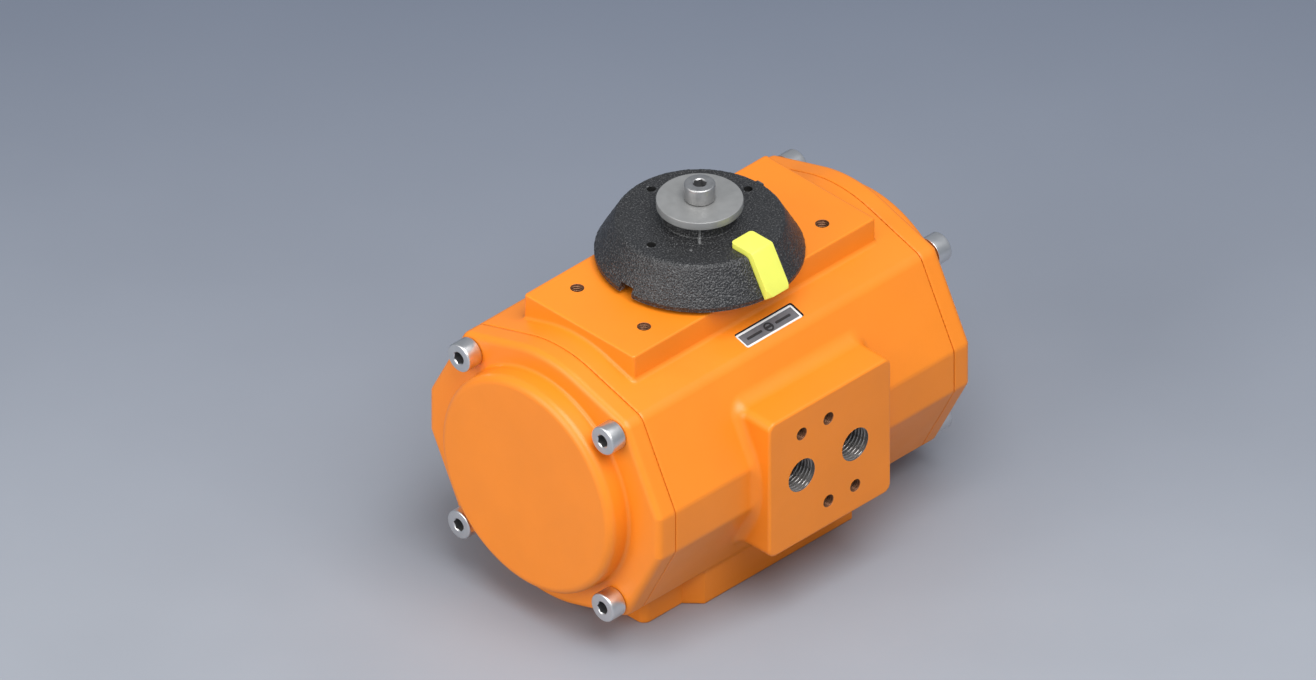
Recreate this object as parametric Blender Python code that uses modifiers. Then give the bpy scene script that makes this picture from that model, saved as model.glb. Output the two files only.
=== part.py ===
"""Double-acting rack-and-pinion pneumatic actuator with a quarter turn.

Frame: +Z up along the shaft, +X along the cylinder, the air ports face -Y. The origin is where the shaft's
axis meets the bottom face that bolts to the valve. The pieces stand in the closed position, pistons inwards.
"""

from math import acos, cos, pi, radians, sin, sqrt, tan

import bmesh
import bpy
from mathutils import Matrix, Vector

MM = 0.001
GAP = 0.3 * MM  # between pieces that touch
OVERRUN = 1.0 * MM  # how far a cutter starts outside the face that it cuts

# housing
AXIS_Z = 51.0 * MM
PAD_Z = 101.4 * MM
BODY_HALF = 62.4 * MM
BORE_R = 37.5 * MM
ARC_R = 46.4 * MM
ROOF_ANGLE = radians(17)
SIDE_Y = 51.8 * MM
SIDE_HALF = 7.7 * MM
CORNER_Y, CORNER_Z, CORNER_R = 36.5 * MM, 37.4 * MM, 4.0 * MM
TOP_PAD_HALF = (54.3 * MM, 24.7 * MM)
ACCESSORY_HOLES = (40.0 * MM, 15.0 * MM)
M5_TAP_R = 2.1 * MM
PORT_FACE_Y = -57.8 * MM
PORT_PAD_X = (-26.4 * MM, 28.2 * MM)
PORT_PAD_HALF_Z = 25.9 * MM
PORT_X = 12.0 * MM
PORT_R = 5.725 * MM
PORT_DEPTHS = {"left": 9.4 * MM, "right": 14.0 * MM}
PILOT_HOLE_Z = 16.0 * MM
CHANNEL_Y, CHANNEL_Z, CHANNEL_R = -46.0 * MM, 5.5 * MM, 1.75 * MM
PASSAGE_R, PASSAGE_DEPTH, PASSAGE_DROP = 2.0 * MM, 25.0 * MM, 2.5 * MM
M5_TAP_DEPTHS = {"accessory": 8.0 * MM, "solenoid": 10.0 * MM}
CAP_THREAD_DEPTH = 15.4 * MM
LOWER_LAND_R, LOWER_LAND_TOP = 17.5 * MM, 30.0 * MM
LOWER_SEAT_R, LOWER_SEAT_TOP = 19.2 * MM, 6.3 * MM
UPPER_LAND_R, UPPER_LAND_DEPTH = 11.6 * MM, 25.0 * MM
UPPER_SEAT_R, UPPER_SEAT_TOP, UPPER_SEAT_BOTTOM = 13.2 * MM, 97.2 * MM, 61.0 * MM

# valve side: two bolt circles, one star-shaped socket
FLANGE_HALF = (55.0 * MM, 30.0 * MM)
FLANGE_WIDE_HALF = (33.0 * MM, 35.3 * MM)
FLANGE_CHAMFER_X = 38.0 * MM
F05_PCD, F05_TAP_R = 50.0 * MM, 2.55 * MM
F07_PCD, F07_TAP_R = 70.0 * MM, 3.4 * MM
SOCKET_AF, SOCKET_DEPTH = 17.0 * MM, 19.0 * MM
VALVE_TAP_DEPTH = 12.0 * MM

# end caps and their screws
CAP_INNER = BODY_HALF + GAP
CAP_FACE = 70.1 * MM
DOME_R, DOME_END, DOME_ROUND = 38.3 * MM, 78.6 * MM, 3.0 * MM
RECESS_R, RECESS_END = 34.0 * MM, 74.2 * MM
CAP_SEAL_R, CAP_SEAL_THICK = 39.9 * MM, 1.9 * MM
BOLT_YZ = (32.25 * MM, 32.4 * MM)
M6_R, M6_HEAD_R, M6_HEAD, M6_SOCKET_AF = 2.9 * MM, 5.0 * MM, 5.7 * MM, 4.0 * MM
M6_SOCKET_DEPTH, M6_HEAD_EDGE = 3.0 * MM, 0.5 * MM
CAP_BOLT_LENGTH, INDICATOR_BOLT_LENGTH = 22.0 * MM, 14.0 * MM
CAP_CHANNEL_DEPTH, CROSS_HOLE_R, CROSS_HOLE_DEPTH = 5.5 * MM, 1.5 * MM, 16.0 * MM
CHANNEL_SEAL_R, CHANNEL_SEAL_THICK = 2.45 * MM, 1.3 * MM
CHANNEL_SEAT_R, CHANNEL_SEAT_DEPTH = 3.4 * MM, 1.8 * MM

# rack and pinion
MODULE = 1.5 * MM
TEETH = 18
PITCH_R = MODULE * TEETH / 2
PRESSURE_ANGLE = radians(20)
BACKLASH = 0.06 * MM  # taken off each flank, along the pitch line
ADDENDUM, DEDENDUM = 0.97 * MODULE, 1.25 * MODULE
PINION_HALF, RACK_HALF = 15.0 * MM, 13.0 * MM
HEAD_INNER, HEAD_OUTER, HEAD_R = 28.8 * MM, 41.0 * MM, 37.2 * MM
RACK_TIP = -28.3 * MM
RACK_BACK_R = 35.5 * MM
SHOE_X, SHOE_FLAT, SHOE_HALF_Z = (-25.6 * MM, -10.4 * MM), 33.5 * MM, 7.6 * MM
SHOE_BACK_R = 37.2 * MM
BEYOND_BORE = 40.0 * MM  # any distance from the cylinder's axis that lies outside the bore
DISH_R, DISH_DEPTH = 24.0 * MM, 4.0 * MM
SEAL_GROOVE, SEAL_FLOOR_R = (1.8 * MM, 5.2 * MM), 34.2 * MM  # grooves are measured from the pressure face
GUIDE_GROOVE, GUIDE_FLOOR_R = (6.8 * MM, 11.0 * MM), 35.7 * MM
PISTON_SEAL_R, PISTON_SEAL_THICK = 35.9 * MM, 2.8 * MM
GUIDE_RING_R, GUIDE_RING_HALF, GUIDE_SPLIT = (36.0 * MM, 37.3 * MM), 1.8 * MM, 1.0 * MM

# shaft, from below to above
SHAFT_BOTTOM = 0.8 * MM
LOWER_R, CORE_R, UPPER_R, TIP_R = 17.0 * MM, 14.0 * MM, 11.0 * MM, 9.5 * MM
SHAFT_STEP_Z = PAD_Z + 6.0 * MM
SHAFT_TOP_Z = PAD_Z + 19.3 * MM
FLATS_AF = 14.0 * MM
NECK_R, LOWER_SHOULDER_Z = 9.0 * MM, 22.0 * MM
SHAFT_THREAD_DEPTH = 14.0 * MM
# grooves in the shaft: floor radius, bottom and top
RING_GROOVE = (10.0 * MM, 104.45 * MM, 105.95 * MM)
UPPER_SEAL_GROOVE = (8.85 * MM, 98.0 * MM, 100.8 * MM)
LOWER_SEAL_GROOVE = (14.2 * MM, 7.6 * MM, 11.0 * MM)
# seals on the shaft: ring radius, thickness and height
SHAFT_SEALS = {"lower": (15.9 * MM, 2.7 * MM, 9.3 * MM), "upper": (10.25 * MM, 2.2 * MM, 99.4 * MM)}
# bushes and washers: inner radius, outer radius, bottom and top
LOWER_BUSH = (17.3 * MM, 18.9 * MM, 0.6 * MM, 6.0 * MM)
UPPER_BUSH = (11.3 * MM, 12.9 * MM, 88.8 * MM, 96.9 * MM)
THRUST_WASHER = (11.3 * MM, 17.0 * MM, 101.7 * MM, 103.0 * MM)
STEEL_WASHER = (11.3 * MM, 16.5 * MM, 103.3 * MM, 104.2 * MM)
CIRCLIP_Z, CIRCLIP_R = (104.6 * MM, 105.8 * MM), (10.3 * MM, 13.2 * MM)
CIRCLIP_HALF_GAP, EYE_ANGLE = radians(14), radians(7)
EYE_RING, EYE_OUTER_R, EYE_HOLE_R = 13.6 * MM, 2.2 * MM, 0.9 * MM

# indicator
CONE_BASE_R, CONE_TOP_R = 33.7 * MM, 26.0 * MM
CONE_BOTTOM_Z, CONE_TOP_Z = PAD_Z + 1.4 * MM, PAD_Z + 15.2 * MM
CONE_WALL, HUB_R, COLLAR_R = 2.4 * MM, 12.6 * MM, 12.0 * MM
TICK_HALF, NOTCH_HALF, NOTCH_HEIGHT = 1.5 * MM, 2.75 * MM, 3.5 * MM
PEG_HOLE_RING, PEG_HOLE_R = 21.7 * MM, 1.5 * MM
POINTER_HALF, POINTER_THICK, POINTER_RISE = 4.7 * MM, 2.7 * MM, 1.8 * MM
POINTER_START_Y, POINTER_BEND_Y, POINTER_END_Y = -18.5 * MM, -28.0 * MM, -36.0 * MM
POINTER_END_Z = PAD_Z + 3.4 * MM
POINTER_ROUND, POINTER_CHAMFER, PEG_DEPTH = 1.3 * MM, (1.9 * MM, 1.5 * MM), 2.3 * MM
DISC_R, DISC_THICK = 13.9 * MM, 2.8 * MM
LABEL_SIZE, LABEL_Y, LABEL_SUNK = (25.0 * MM, 6.0 * MM, 0.6 * MM), -31.2 * MM, 0.6 * MM

ALONG = {
    "X": Matrix(((0, 0, 1, 0), (1, 0, 0, 0), (0, 1, 0, 0), (0, 0, 0, 1))),
    "Y": Matrix(((0, 1, 0, 0), (0, 0, 1, 0), (1, 0, 0, 0), (0, 0, 0, 1))),
    "Z": Matrix.Identity(4),
}


# ---------------------------------------------------------------- tools


def clear_scene():
    for obj in list(bpy.data.objects):
        bpy.data.objects.remove(obj, do_unlink=True)


def new_collection(name):
    collection = bpy.data.collections.new(name)
    bpy.context.scene.collection.children.link(collection)
    return collection


def new_material(name, colour, roughness, metallic):
    material = bpy.data.materials.new(name)
    material.use_nodes = True
    shader = material.node_tree.nodes["Principled BSDF"]
    shader.inputs["Base Color"].default_value = (*colour, 1.0)
    shader.inputs["Roughness"].default_value = roughness
    shader.inputs["Metallic"].default_value = metallic
    return material


def place(name, mesh, collection, material=None):
    obj = bpy.data.objects.new(name, mesh)
    collection.objects.link(obj)
    if material:
        mesh.materials.append(material)
    return obj


def as_cutter(obj):
    obj.hide_render = True
    obj.display_type = "WIRE"
    return obj


def piece(name, mesh, material):
    return place(name, mesh, PIECES, material)


def cutter(name, mesh):
    return as_cutter(place(name, mesh, CUTTERS))


def combine(target, operation, other):
    boolean = target.modifiers.new(f"{operation.lower()} {other.name}", "BOOLEAN")
    boolean.operation = operation
    boolean.object = other


def smooth(obj, degrees=35):
    obj.data.shade_smooth()
    obj.data.set_sharp_from_angle(angle=radians(degrees))
    return obj


def arc(centre, radius, start, end, steps):
    angles = [start + (end - start) * i / steps for i in range(steps + 1)]
    return [(centre[0] + radius * cos(a), centre[1] + radius * sin(a)) for a in angles]


def rounded(corners, steps=3):
    """A closed outline through corners given as (x, y, radius), each corner replaced by an arc."""
    points = []
    for i, (x, y, radius) in enumerate(corners):
        here = Vector((x, y))
        if radius == 0:
            points.append((x, y))
            continue
        back = (Vector(corners[i - 1][:2]) - here).normalized()
        ahead = (Vector(corners[(i + 1) % len(corners)][:2]) - here).normalized()
        half = acos(max(-1.0, min(1.0, back.dot(ahead)))) / 2
        centre = here + (back + ahead).normalized() * (radius / sin(half))
        first = here + back * (radius / tan(half)) - centre
        sweep = pi - 2 * half
        turn = sweep if back.x * ahead.y - back.y * ahead.x < 0 else -sweep
        for k in range(steps + 1):
            a = turn * k / steps
            spoke = Vector((first.x * cos(a) - first.y * sin(a), first.x * sin(a) + first.y * cos(a)))
            points.append(tuple(centre + spoke))
    return points


def mirrored_quarter(x, y, radius):
    return [(x, y, radius), (-x, y, radius), (-x, -y, radius), (x, -y, radius)]


def prism(outline, low, high, along="Z"):
    """The mesh of a flat outline extruded from low to high. Along X the outline is (y, z), along Y (z, x)."""
    curve = bpy.data.curves.new("outline", "CURVE")
    curve.dimensions = "2D"
    curve.fill_mode = "BOTH"
    curve.extrude = (high - low) / 2
    spline = curve.splines.new("POLY")
    spline.points.add(len(outline) - 1)
    for point, (x, y) in zip(spline.points, outline):
        point.co = (x, y, 0, 1)
    spline.use_cyclic_u = True
    holder = bpy.data.objects.new("outline", curve)
    bpy.context.scene.collection.objects.link(holder)
    graph = bpy.context.evaluated_depsgraph_get()
    mesh = bpy.data.meshes.new_from_object(holder.evaluated_get(graph))
    bpy.data.objects.remove(holder)
    bm = bmesh.new()
    bm.from_mesh(mesh)
    bmesh.ops.remove_doubles(bm, verts=bm.verts, dist=1e-7)
    caps = [face for face in bm.faces if len({round(vert.co.z, 7) for vert in face.verts}) == 1]
    bmesh.ops.delete(bm, geom=caps, context="FACES")
    bmesh.ops.holes_fill(bm, edges=[edge for edge in bm.edges if edge.is_boundary])
    bmesh.ops.translate(bm, verts=bm.verts, vec=(0, 0, (high + low) / 2))
    bmesh.ops.transform(bm, verts=bm.verts, matrix=ALONG[along])
    bmesh.ops.recalc_face_normals(bm, faces=bm.faces)
    bm.to_mesh(mesh)
    bm.free()
    return mesh


def turned(name, profile, collection, segments, material=None, closed=False):
    """An object turned about its own Z axis. The profile's (radius, z) points run down the outer side."""
    mesh = bpy.data.meshes.new(name)
    bm = bmesh.new()
    verts = [bm.verts.new((r, 0, z)) for r, z in profile]
    for one, two in zip(verts, verts[1:] + verts[: 1 if closed else 0]):
        bm.edges.new((one, two))
    bm.to_mesh(mesh)
    bm.free()
    obj = place(name, mesh, collection, material)
    screw = obj.modifiers.new("turn", "SCREW")
    screw.axis = "Z"
    screw.steps = screw.render_steps = segments
    screw.use_merge_vertices = True
    screw.merge_threshold = 1e-6
    screw.use_smooth_shade = True
    return obj


def aim_x(obj, side, x=0.0, y=0.0):
    """Lays a turned object along the cylinder: its own +Z points away from the middle, on the given side."""
    obj.matrix_world = Matrix.Translation((side * x, y, AXIS_Z)) @ Matrix.Rotation(side * pi / 2, 4, "Y")
    return obj


def rods(spots, outward, radius, depth, segments):
    """One mesh of equal cylinders that go in from the spots, against the outward direction."""
    outward = Vector(outward)
    turn = Vector((0, 0, 1)).rotation_difference(outward).to_matrix().to_4x4()
    turn = turn @ Matrix.Rotation(pi / segments, 4, "Z")
    bm = bmesh.new()
    for spot in spots:
        middle = Vector(spot) + outward * ((OVERRUN - depth) / 2)
        bmesh.ops.create_cone(
            bm,
            cap_ends=True,
            segments=segments,
            radius1=radius,
            radius2=radius,
            depth=depth + OVERRUN,
            matrix=Matrix.Translation(middle) @ turn,
        )
    mesh = bpy.data.meshes.new("rods")
    bm.to_mesh(mesh)
    bm.free()
    return mesh


def drill(target, name, spots, outward, radius, depth, segments=16):
    combine(target, "DIFFERENCE", cutter(name, rods(spots, outward, radius, depth, segments)))


def box(low, high):
    bm = bmesh.new()
    middle = (Vector(low) + Vector(high)) / 2
    size = Vector(high) - Vector(low)
    bmesh.ops.create_cube(bm, size=1, matrix=Matrix.Translation(middle) @ Matrix.Diagonal((*size, 1)))
    mesh = bpy.data.meshes.new("box")
    bm.to_mesh(mesh)
    bm.free()
    return mesh


def o_ring(name, ring_r, thick, material, segments=24, sides=5):
    wire = [(ring_r + x, z) for x, z in arc((0, 0), thick / 2, 0, -2 * pi, sides)[:-1]]
    return turned(name, wire, PIECES, segments, material, closed=True)


def sleeve(name, size, material, segments=24):
    """A plain tube from its inner radius, outer radius, bottom and top."""
    inner, outer, low, high = size
    wall = [(outer, high), (outer, low), (inner, low), (inner, high)]
    return turned(name, wall, PIECES, segments, material, closed=True)


# ---------------------------------------------------------------- housing


def housing_section():
    """The extruded outline, as (y, z) points: an octagon with arched top and bottom."""
    top = arc((0, AXIS_Z), ARC_R, pi / 2 - ROOF_ANGLE, pi / 2 + ROOF_ANGLE, 8)
    bottom = [(-y, 2 * AXIS_Z - z) for y, z in top]

    def shoulder(y, z):
        corners = [(y * CORNER_Y, AXIS_Z + z * CORNER_Z, CORNER_R), (y * SIDE_Y, AXIS_Z + z * SIDE_HALF, 0)]
        return corners if y * z < 0 else corners[::-1]

    ends = [(y, z, 0) for y, z in (top[0], top[-1], bottom[0], bottom[-1])]
    outline = [ends[0], ends[1]] + shoulder(-1, 1) + shoulder(-1, -1)
    outline += [ends[2], ends[3]] + shoulder(1, -1) + shoulder(1, 1)
    points = rounded(outline)
    half = len(points) // 2 + 1
    return points[:1] + top[1:-1] + points[1:half] + bottom[1:-1] + points[half:]


def flange_outline():
    x, y = FLANGE_HALF
    wide_x, wide_y = FLANGE_WIDE_HALF
    quarter = [(x, y, 3 * MM), (FLANGE_CHAMFER_X, y, 0), (wide_x, wide_y, 0)]
    corners = quarter + [(-a, b, r) for a, b, r in quarter[::-1]]
    corners += [(-a, -b, r) for a, b, r in quarter] + [(a, -b, r) for a, b, r in quarter[::-1]]
    return rounded(corners)


def port_pad_outline():
    (left, right), half = PORT_PAD_X, PORT_PAD_HALF_Z
    radius = 3 * MM
    low, high = AXIS_Z - half, AXIS_Z + half
    return rounded([(high, right, radius), (high, left, radius), (low, left, radius), (low, right, radius)])


def roof_frame(y):
    """Stands on the sloping face of the port side: local Z points out of it, local X along the cylinder."""
    z = AXIS_Z + ARC_R * cos(ROOF_ANGLE) - (-y - ARC_R * sin(ROOF_ANGLE)) * tan(ROOF_ANGLE)
    return Matrix.Translation((0, y, z)) @ Matrix.Rotation(ROOF_ANGLE, 4, "X")


def cut_shaft_seats(body):
    """The stepped holes for the shaft, its two bushes and its two seals."""
    drill(body, "lower_land", [(0, 0, 0)], (0, 0, -1), LOWER_LAND_R, LOWER_LAND_TOP, 32)
    drill(body, "lower_bush_seat", [(0, 0, 0)], (0, 0, -1), LOWER_SEAT_R, LOWER_SEAT_TOP, 32)
    drill(body, "upper_land", [(0, 0, PAD_Z)], (0, 0, 1), UPPER_LAND_R, UPPER_LAND_DEPTH, 32)
    start, depth = (0, 0, UPPER_SEAT_BOTTOM), UPPER_SEAT_TOP - UPPER_SEAT_BOTTOM
    drill(body, "upper_bush_seat", [start], (0, 0, -1), UPPER_SEAT_R, depth, 32)


def cut_air_ways(body):
    """Two ports: the left one feeds the middle chamber, the right one a channel to both end chambers."""
    for side, sign in (("left", -1), ("right", 1)):
        mouth = (sign * PORT_X, PORT_FACE_Y, AXIS_Z)
        drill(body, f"port_{side}", [mouth], (0, -1, 0), PORT_R, PORT_DEPTHS[side], 20)
    passage = (-PORT_X, PORT_FACE_Y, AXIS_Z - PASSAGE_DROP)
    drill(body, "middle_passage", [passage], (0, -1, 0), PASSAGE_R, PASSAGE_DEPTH, 8)
    channel = (BODY_HALF, CHANNEL_Y, AXIS_Z + CHANNEL_Z)
    drill(body, "end_channel", [channel], (1, 0, 0), CHANNEL_R, 2 * BODY_HALF + OVERRUN, 8)


def bolt_spots(x):
    """Where the four cap screws cross the plane at x."""
    y, z = BOLT_YZ
    return [(x, a * y, AXIS_Z + b * z) for a in (-1, 1) for b in (-1, 1)]


def bolt_circle(pcd):
    reach = pcd / 2 * sqrt(0.5)
    return [(x * reach, y * reach, 0) for x in (-1, 1) for y in (-1, 1)]


def make_body():
    body = piece("body", prism(housing_section(), -BODY_HALF, BODY_HALF, "X"), PAINT)
    pads = {
        "top_pad": prism(rounded(mirrored_quarter(*TOP_PAD_HALF, 1 * MM)), AXIS_Z + 38 * MM, PAD_Z),
        "valve_flange": prism(flange_outline(), 0, AXIS_Z - 36 * MM),
        "port_pad": prism(port_pad_outline(), PORT_FACE_Y, -38 * MM, "Y"),
    }
    for name, mesh in pads.items():
        combine(body, "UNION", cutter(name, mesh))
    drill(body, "cylinder", [(BODY_HALF, 0, AXIS_Z)], (1, 0, 0), BORE_R, 2 * BODY_HALF + OVERRUN, 48)
    cut_shaft_seats(body)
    cut_air_ways(body)
    for side in (-1, 1):
        spots, radius = bolt_spots(side * BODY_HALF), M6_R + GAP
        drill(body, f"cap_threads_{side}", spots, (side, 0, 0), radius, CAP_THREAD_DEPTH, 10)
    x, y = ACCESSORY_HOLES
    top = [(a * x, b * y, PAD_Z) for a in (-1, 1) for b in (-1, 1)]
    drill(body, "accessory_threads", top, (0, 0, 1), M5_TAP_R, M5_TAP_DEPTHS["accessory"], 10)
    pilot = [(-PORT_X, 1), (0, 1), (0, -1), (PORT_X, -1)]
    spots = [(a, PORT_FACE_Y, AXIS_Z + b * PILOT_HOLE_Z) for a, b in pilot]
    drill(body, "solenoid_threads", spots, (0, -1, 0), M5_TAP_R, M5_TAP_DEPTHS["solenoid"], 10)
    drill(body, "f05_threads", bolt_circle(F05_PCD), (0, 0, -1), F05_TAP_R, VALVE_TAP_DEPTH, 10)
    drill(body, "f07_threads", bolt_circle(F07_PCD), (0, 0, -1), F07_TAP_R, VALVE_TAP_DEPTH, 10)
    width, height, thick = LABEL_SIZE
    pocket = rounded(mirrored_quarter(width / 2 + GAP, height / 2 + GAP, 0.8 * MM))
    recess = cutter("label_pocket", prism(pocket, -LABEL_SUNK - thick - GAP, OVERRUN))
    recess.matrix_world = roof_frame(LABEL_Y)
    combine(body, "DIFFERENCE", recess)
    smooth(body)


def make_label():
    width, height, thick = LABEL_SIZE
    outline = rounded(mirrored_quarter(width / 2, height / 2, 0.6 * MM))
    label = piece("position_label", prism(outline, -LABEL_SUNK - thick, -LABEL_SUNK), LABEL)
    label.matrix_world = roof_frame(LABEL_Y)


# ---------------------------------------------------------------- end caps


def cap_air_ways(cap, name, side):
    """A pocket that faces the housing's channel, and a cross hole from it to the recess."""
    mouth = (side * CAP_INNER, CHANNEL_Y, AXIS_Z + CHANNEL_Z)
    drill(cap, f"{name}_channel", [mouth], (-side, 0, 0), CHANNEL_R, CAP_CHANNEL_DEPTH, 8)
    drill(cap, f"{name}_seal_pocket", [mouth], (-side, 0, 0), CHANNEL_SEAT_R, CHANNEL_SEAT_DEPTH, 12)
    start = (side * (CAP_INNER + 4.4 * MM), CHANNEL_Y - 0.8 * MM, AXIS_Z + CHANNEL_Z)
    drill(cap, f"{name}_cross_hole", [start], (0, -1, 0), CROSS_HOLE_R, CROSS_HOLE_DEPTH, 8)


def make_end_cap(name, side):
    low, high = sorted((side * CAP_INNER, side * CAP_FACE))
    cap = piece(f"end_cap_{name}", prism(housing_section(), low, high, "X"), PAINT)
    crown = arc((DOME_R - DOME_ROUND, DOME_END - DOME_ROUND), DOME_ROUND, pi / 2, 0, 4)
    root = CAP_FACE - 2 * MM
    dome = turned(f"{name}_dome", [(0, DOME_END)] + crown + [(DOME_R, root), (0, root)], CUTTERS, 40)
    combine(cap, "UNION", aim_x(as_cutter(dome), side))
    start = CAP_INNER - OVERRUN
    hollow = [(0, RECESS_END), (RECESS_R, RECESS_END), (RECESS_R, start), (0, start)]
    recess = turned(f"{name}_recess", hollow, CUTTERS, 32)
    combine(cap, "DIFFERENCE", aim_x(as_cutter(recess), side))
    half = CAP_SEAL_THICK / 2 + GAP
    floor = CAP_INNER + CAP_SEAL_THICK + 1.4 * GAP
    groove = [(CAP_SEAL_R + half, floor), (CAP_SEAL_R + half, start), (CAP_SEAL_R - half, start)]
    groove.append((CAP_SEAL_R - half, floor))
    seat = turned(f"{name}_seal_groove", groove, CUTTERS, 32, closed=True)
    combine(cap, "DIFFERENCE", aim_x(as_cutter(seat), side))
    through, radius = CAP_FACE - CAP_INNER + OVERRUN, M6_R + 1.4 * GAP
    drill(cap, f"{name}_bolt_holes", bolt_spots(side * CAP_FACE), (side, 0, 0), radius, through, 10)
    cap_air_ways(cap, name, side)
    smooth(cap)


def make_cap_seals(name, side):
    seal = o_ring(f"end_cap_seal_{name}", CAP_SEAL_R, CAP_SEAL_THICK, RUBBER, 32)
    aim_x(seal, side, CAP_INNER + CAP_SEAL_THICK / 2 + 0.7 * GAP)
    small = o_ring(f"air_channel_seal_{name}", CHANNEL_SEAL_R, CHANNEL_SEAL_THICK, RUBBER, 12)
    aim_x(small, side, CAP_INNER + CHANNEL_SEAT_DEPTH / 2, CHANNEL_Y)
    small.location.z += CHANNEL_Z


def socket_screw(name, length):
    """An M6 socket-head cap screw. Its own +Z points out of the head, and its origin is under the head."""
    edge = M6_HEAD_EDGE
    profile = [(0, M6_HEAD), (M6_HEAD_R - edge, M6_HEAD), (M6_HEAD_R, M6_HEAD - edge), (M6_HEAD_R, 0)]
    profile += [(M6_R, 0), (M6_R, -length), (0, -length)]
    screw = turned(name, profile, PIECES, 16, STAINLESS)
    key_r = M6_SOCKET_AF / 2 / cos(pi / 6)
    key = cutter(f"{name}_key", rods([(0, 0, M6_HEAD)], (0, 0, 1), key_r, M6_SOCKET_DEPTH, 6))
    key.parent = screw
    combine(screw, "DIFFERENCE", key)
    return screw


def make_cap_screws(name, side):
    for y, where in ((-1, "front"), (1, "rear")):
        for z, level in ((1, "upper"), (-1, "lower")):
            screw = socket_screw(f"cap_screw_{name}_{where}_{level}", CAP_BOLT_LENGTH)
            aim_x(screw, side, CAP_FACE + GAP, y * BOLT_YZ[0])
            screw.location.z += z * BOLT_YZ[1]


# ---------------------------------------------------------------- pistons


def rack_outline():
    """The rack arm seen from above, teeth on its +Y side, with a gap between two teeth at x = 0."""
    pitch = pi * MODULE
    tip_y, root_y, back_y = -PITCH_R + ADDENDUM, -PITCH_R - DEDENDUM, -BEYOND_BORE
    slope = tan(PRESSURE_ANGLE)
    half = pitch / 4 - BACKLASH
    points = [(HEAD_INNER + 3 * MM, back_y), (HEAD_INNER + 3 * MM, tip_y)]
    for number in range(2, -7, -1):
        centre = (number + 0.5) * pitch
        if number < 2:
            points += [(centre + half + DEDENDUM * slope, root_y), (centre + half - ADDENDUM * slope, tip_y)]
        points += [(centre - half + ADDENDUM * slope, tip_y), (centre - half - DEDENDUM * slope, root_y)]
    return points + [(RACK_TIP, root_y), (RACK_TIP, back_y)]


def piston_head_profile():
    """Down the outer side from the pressure face: a groove for the O-ring, then one for the guide ring."""
    side = []
    for (near, far), floor in ((SEAL_GROOVE, SEAL_FLOOR_R), (GUIDE_GROOVE, GUIDE_FLOOR_R)):
        steps = ((near, HEAD_R), (near, floor), (far, floor), (far, HEAD_R))
        side += [(r, HEAD_OUTER - depth) for depth, r in steps]
    edge = 0.6 * MM
    crown = [(0, HEAD_OUTER), (HEAD_R - edge, HEAD_OUTER), (HEAD_R, HEAD_OUTER - edge)]
    return crown + side + [(HEAD_R, HEAD_INNER), (0, HEAD_INNER)]


def on_piston(obj, side, parent):
    """The left piston is the right one turned half round about the shaft."""
    obj.matrix_world = Matrix.Rotation(0 if side > 0 else pi, 4, "Z") @ obj.matrix_world
    bpy.context.view_layer.update()
    if parent:
        obj.parent = parent
        obj.matrix_parent_inverse = parent.matrix_world.inverted()
    return obj


def make_piston(name, side):
    slide = bpy.data.objects.new(f"piston_{name}_slide", None)
    slide.location = (side * HEAD_OUTER, 0, AXIS_Z)
    PIECES.objects.link(slide)
    bpy.context.view_layer.update()

    piston = piece(f"piston_{name}", prism(rack_outline(), AXIS_Z - RACK_HALF, AXIS_Z + RACK_HALF), BARE)
    back = rods([(HEAD_OUTER, 0, AXIS_Z)], (1, 0, 0), RACK_BACK_R, 90 * MM, 48)
    envelope = cutter(f"{name}_rack_back", back)
    head = aim_x(as_cutter(turned(f"{name}_head", piston_head_profile(), CUTTERS, 40)), 1)
    dish = cutter(f"{name}_dish", rods([(HEAD_OUTER, 0, AXIS_Z)], (1, 0, 0), DISH_R, DISH_DEPTH, 24))
    low, high = SHOE_X[0] - GAP, SHOE_X[1] + GAP
    pocket_z = SHOE_HALF_Z + GAP
    shoe_floor = -SHOE_FLAT + GAP
    pocket = box((low, -BEYOND_BORE, AXIS_Z - pocket_z), (high, shoe_floor, AXIS_Z + pocket_z))
    cuts = (("INTERSECT", envelope), ("UNION", head), ("DIFFERENCE", dish))
    for operation, tool in (*cuts, ("DIFFERENCE", cutter(f"{name}_shoe_pocket", pocket))):
        combine(piston, operation, on_piston(tool, side, None))
    on_piston(smooth(piston), side, slide)

    seal = o_ring(f"piston_seal_{name}", PISTON_SEAL_R, PISTON_SEAL_THICK, RUBBER, 32)
    on_piston(aim_x(seal, 1, HEAD_OUTER - sum(SEAL_GROOVE) / 2), side, slide)

    middle = HEAD_OUTER - sum(GUIDE_GROOVE) / 2
    reach, half = GUIDE_RING_HALF, GUIDE_SPLIT / 2
    guide = sleeve(f"piston_guide_ring_{name}", (*GUIDE_RING_R, -reach, reach), ACETAL, 40)
    aim_x(guide, 1, middle)
    reach += OVERRUN
    split = box((middle - reach, -half, AXIS_Z), (middle + reach, half, AXIS_Z + BEYOND_BORE))
    combine(guide, "DIFFERENCE", on_piston(cutter(f"{name}_guide_split", split), side, None))
    on_piston(guide, side, slide)

    low, high = SHOE_X
    block = box((low, -BEYOND_BORE, AXIS_Z - SHOE_HALF_Z), (high, -SHOE_FLAT, AXIS_Z + SHOE_HALF_Z))
    shoe = piece(f"rack_shoe_{name}", block, ACETAL)
    skin = cutter(f"{name}_shoe_back", rods([(0, 0, AXIS_Z)], (1, 0, 0), SHOE_BACK_R, 40 * MM, 48))
    combine(shoe, "INTERSECT", on_piston(skin, side, None))
    on_piston(smooth(shoe), side, slide)


# ---------------------------------------------------------------- shaft


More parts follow.
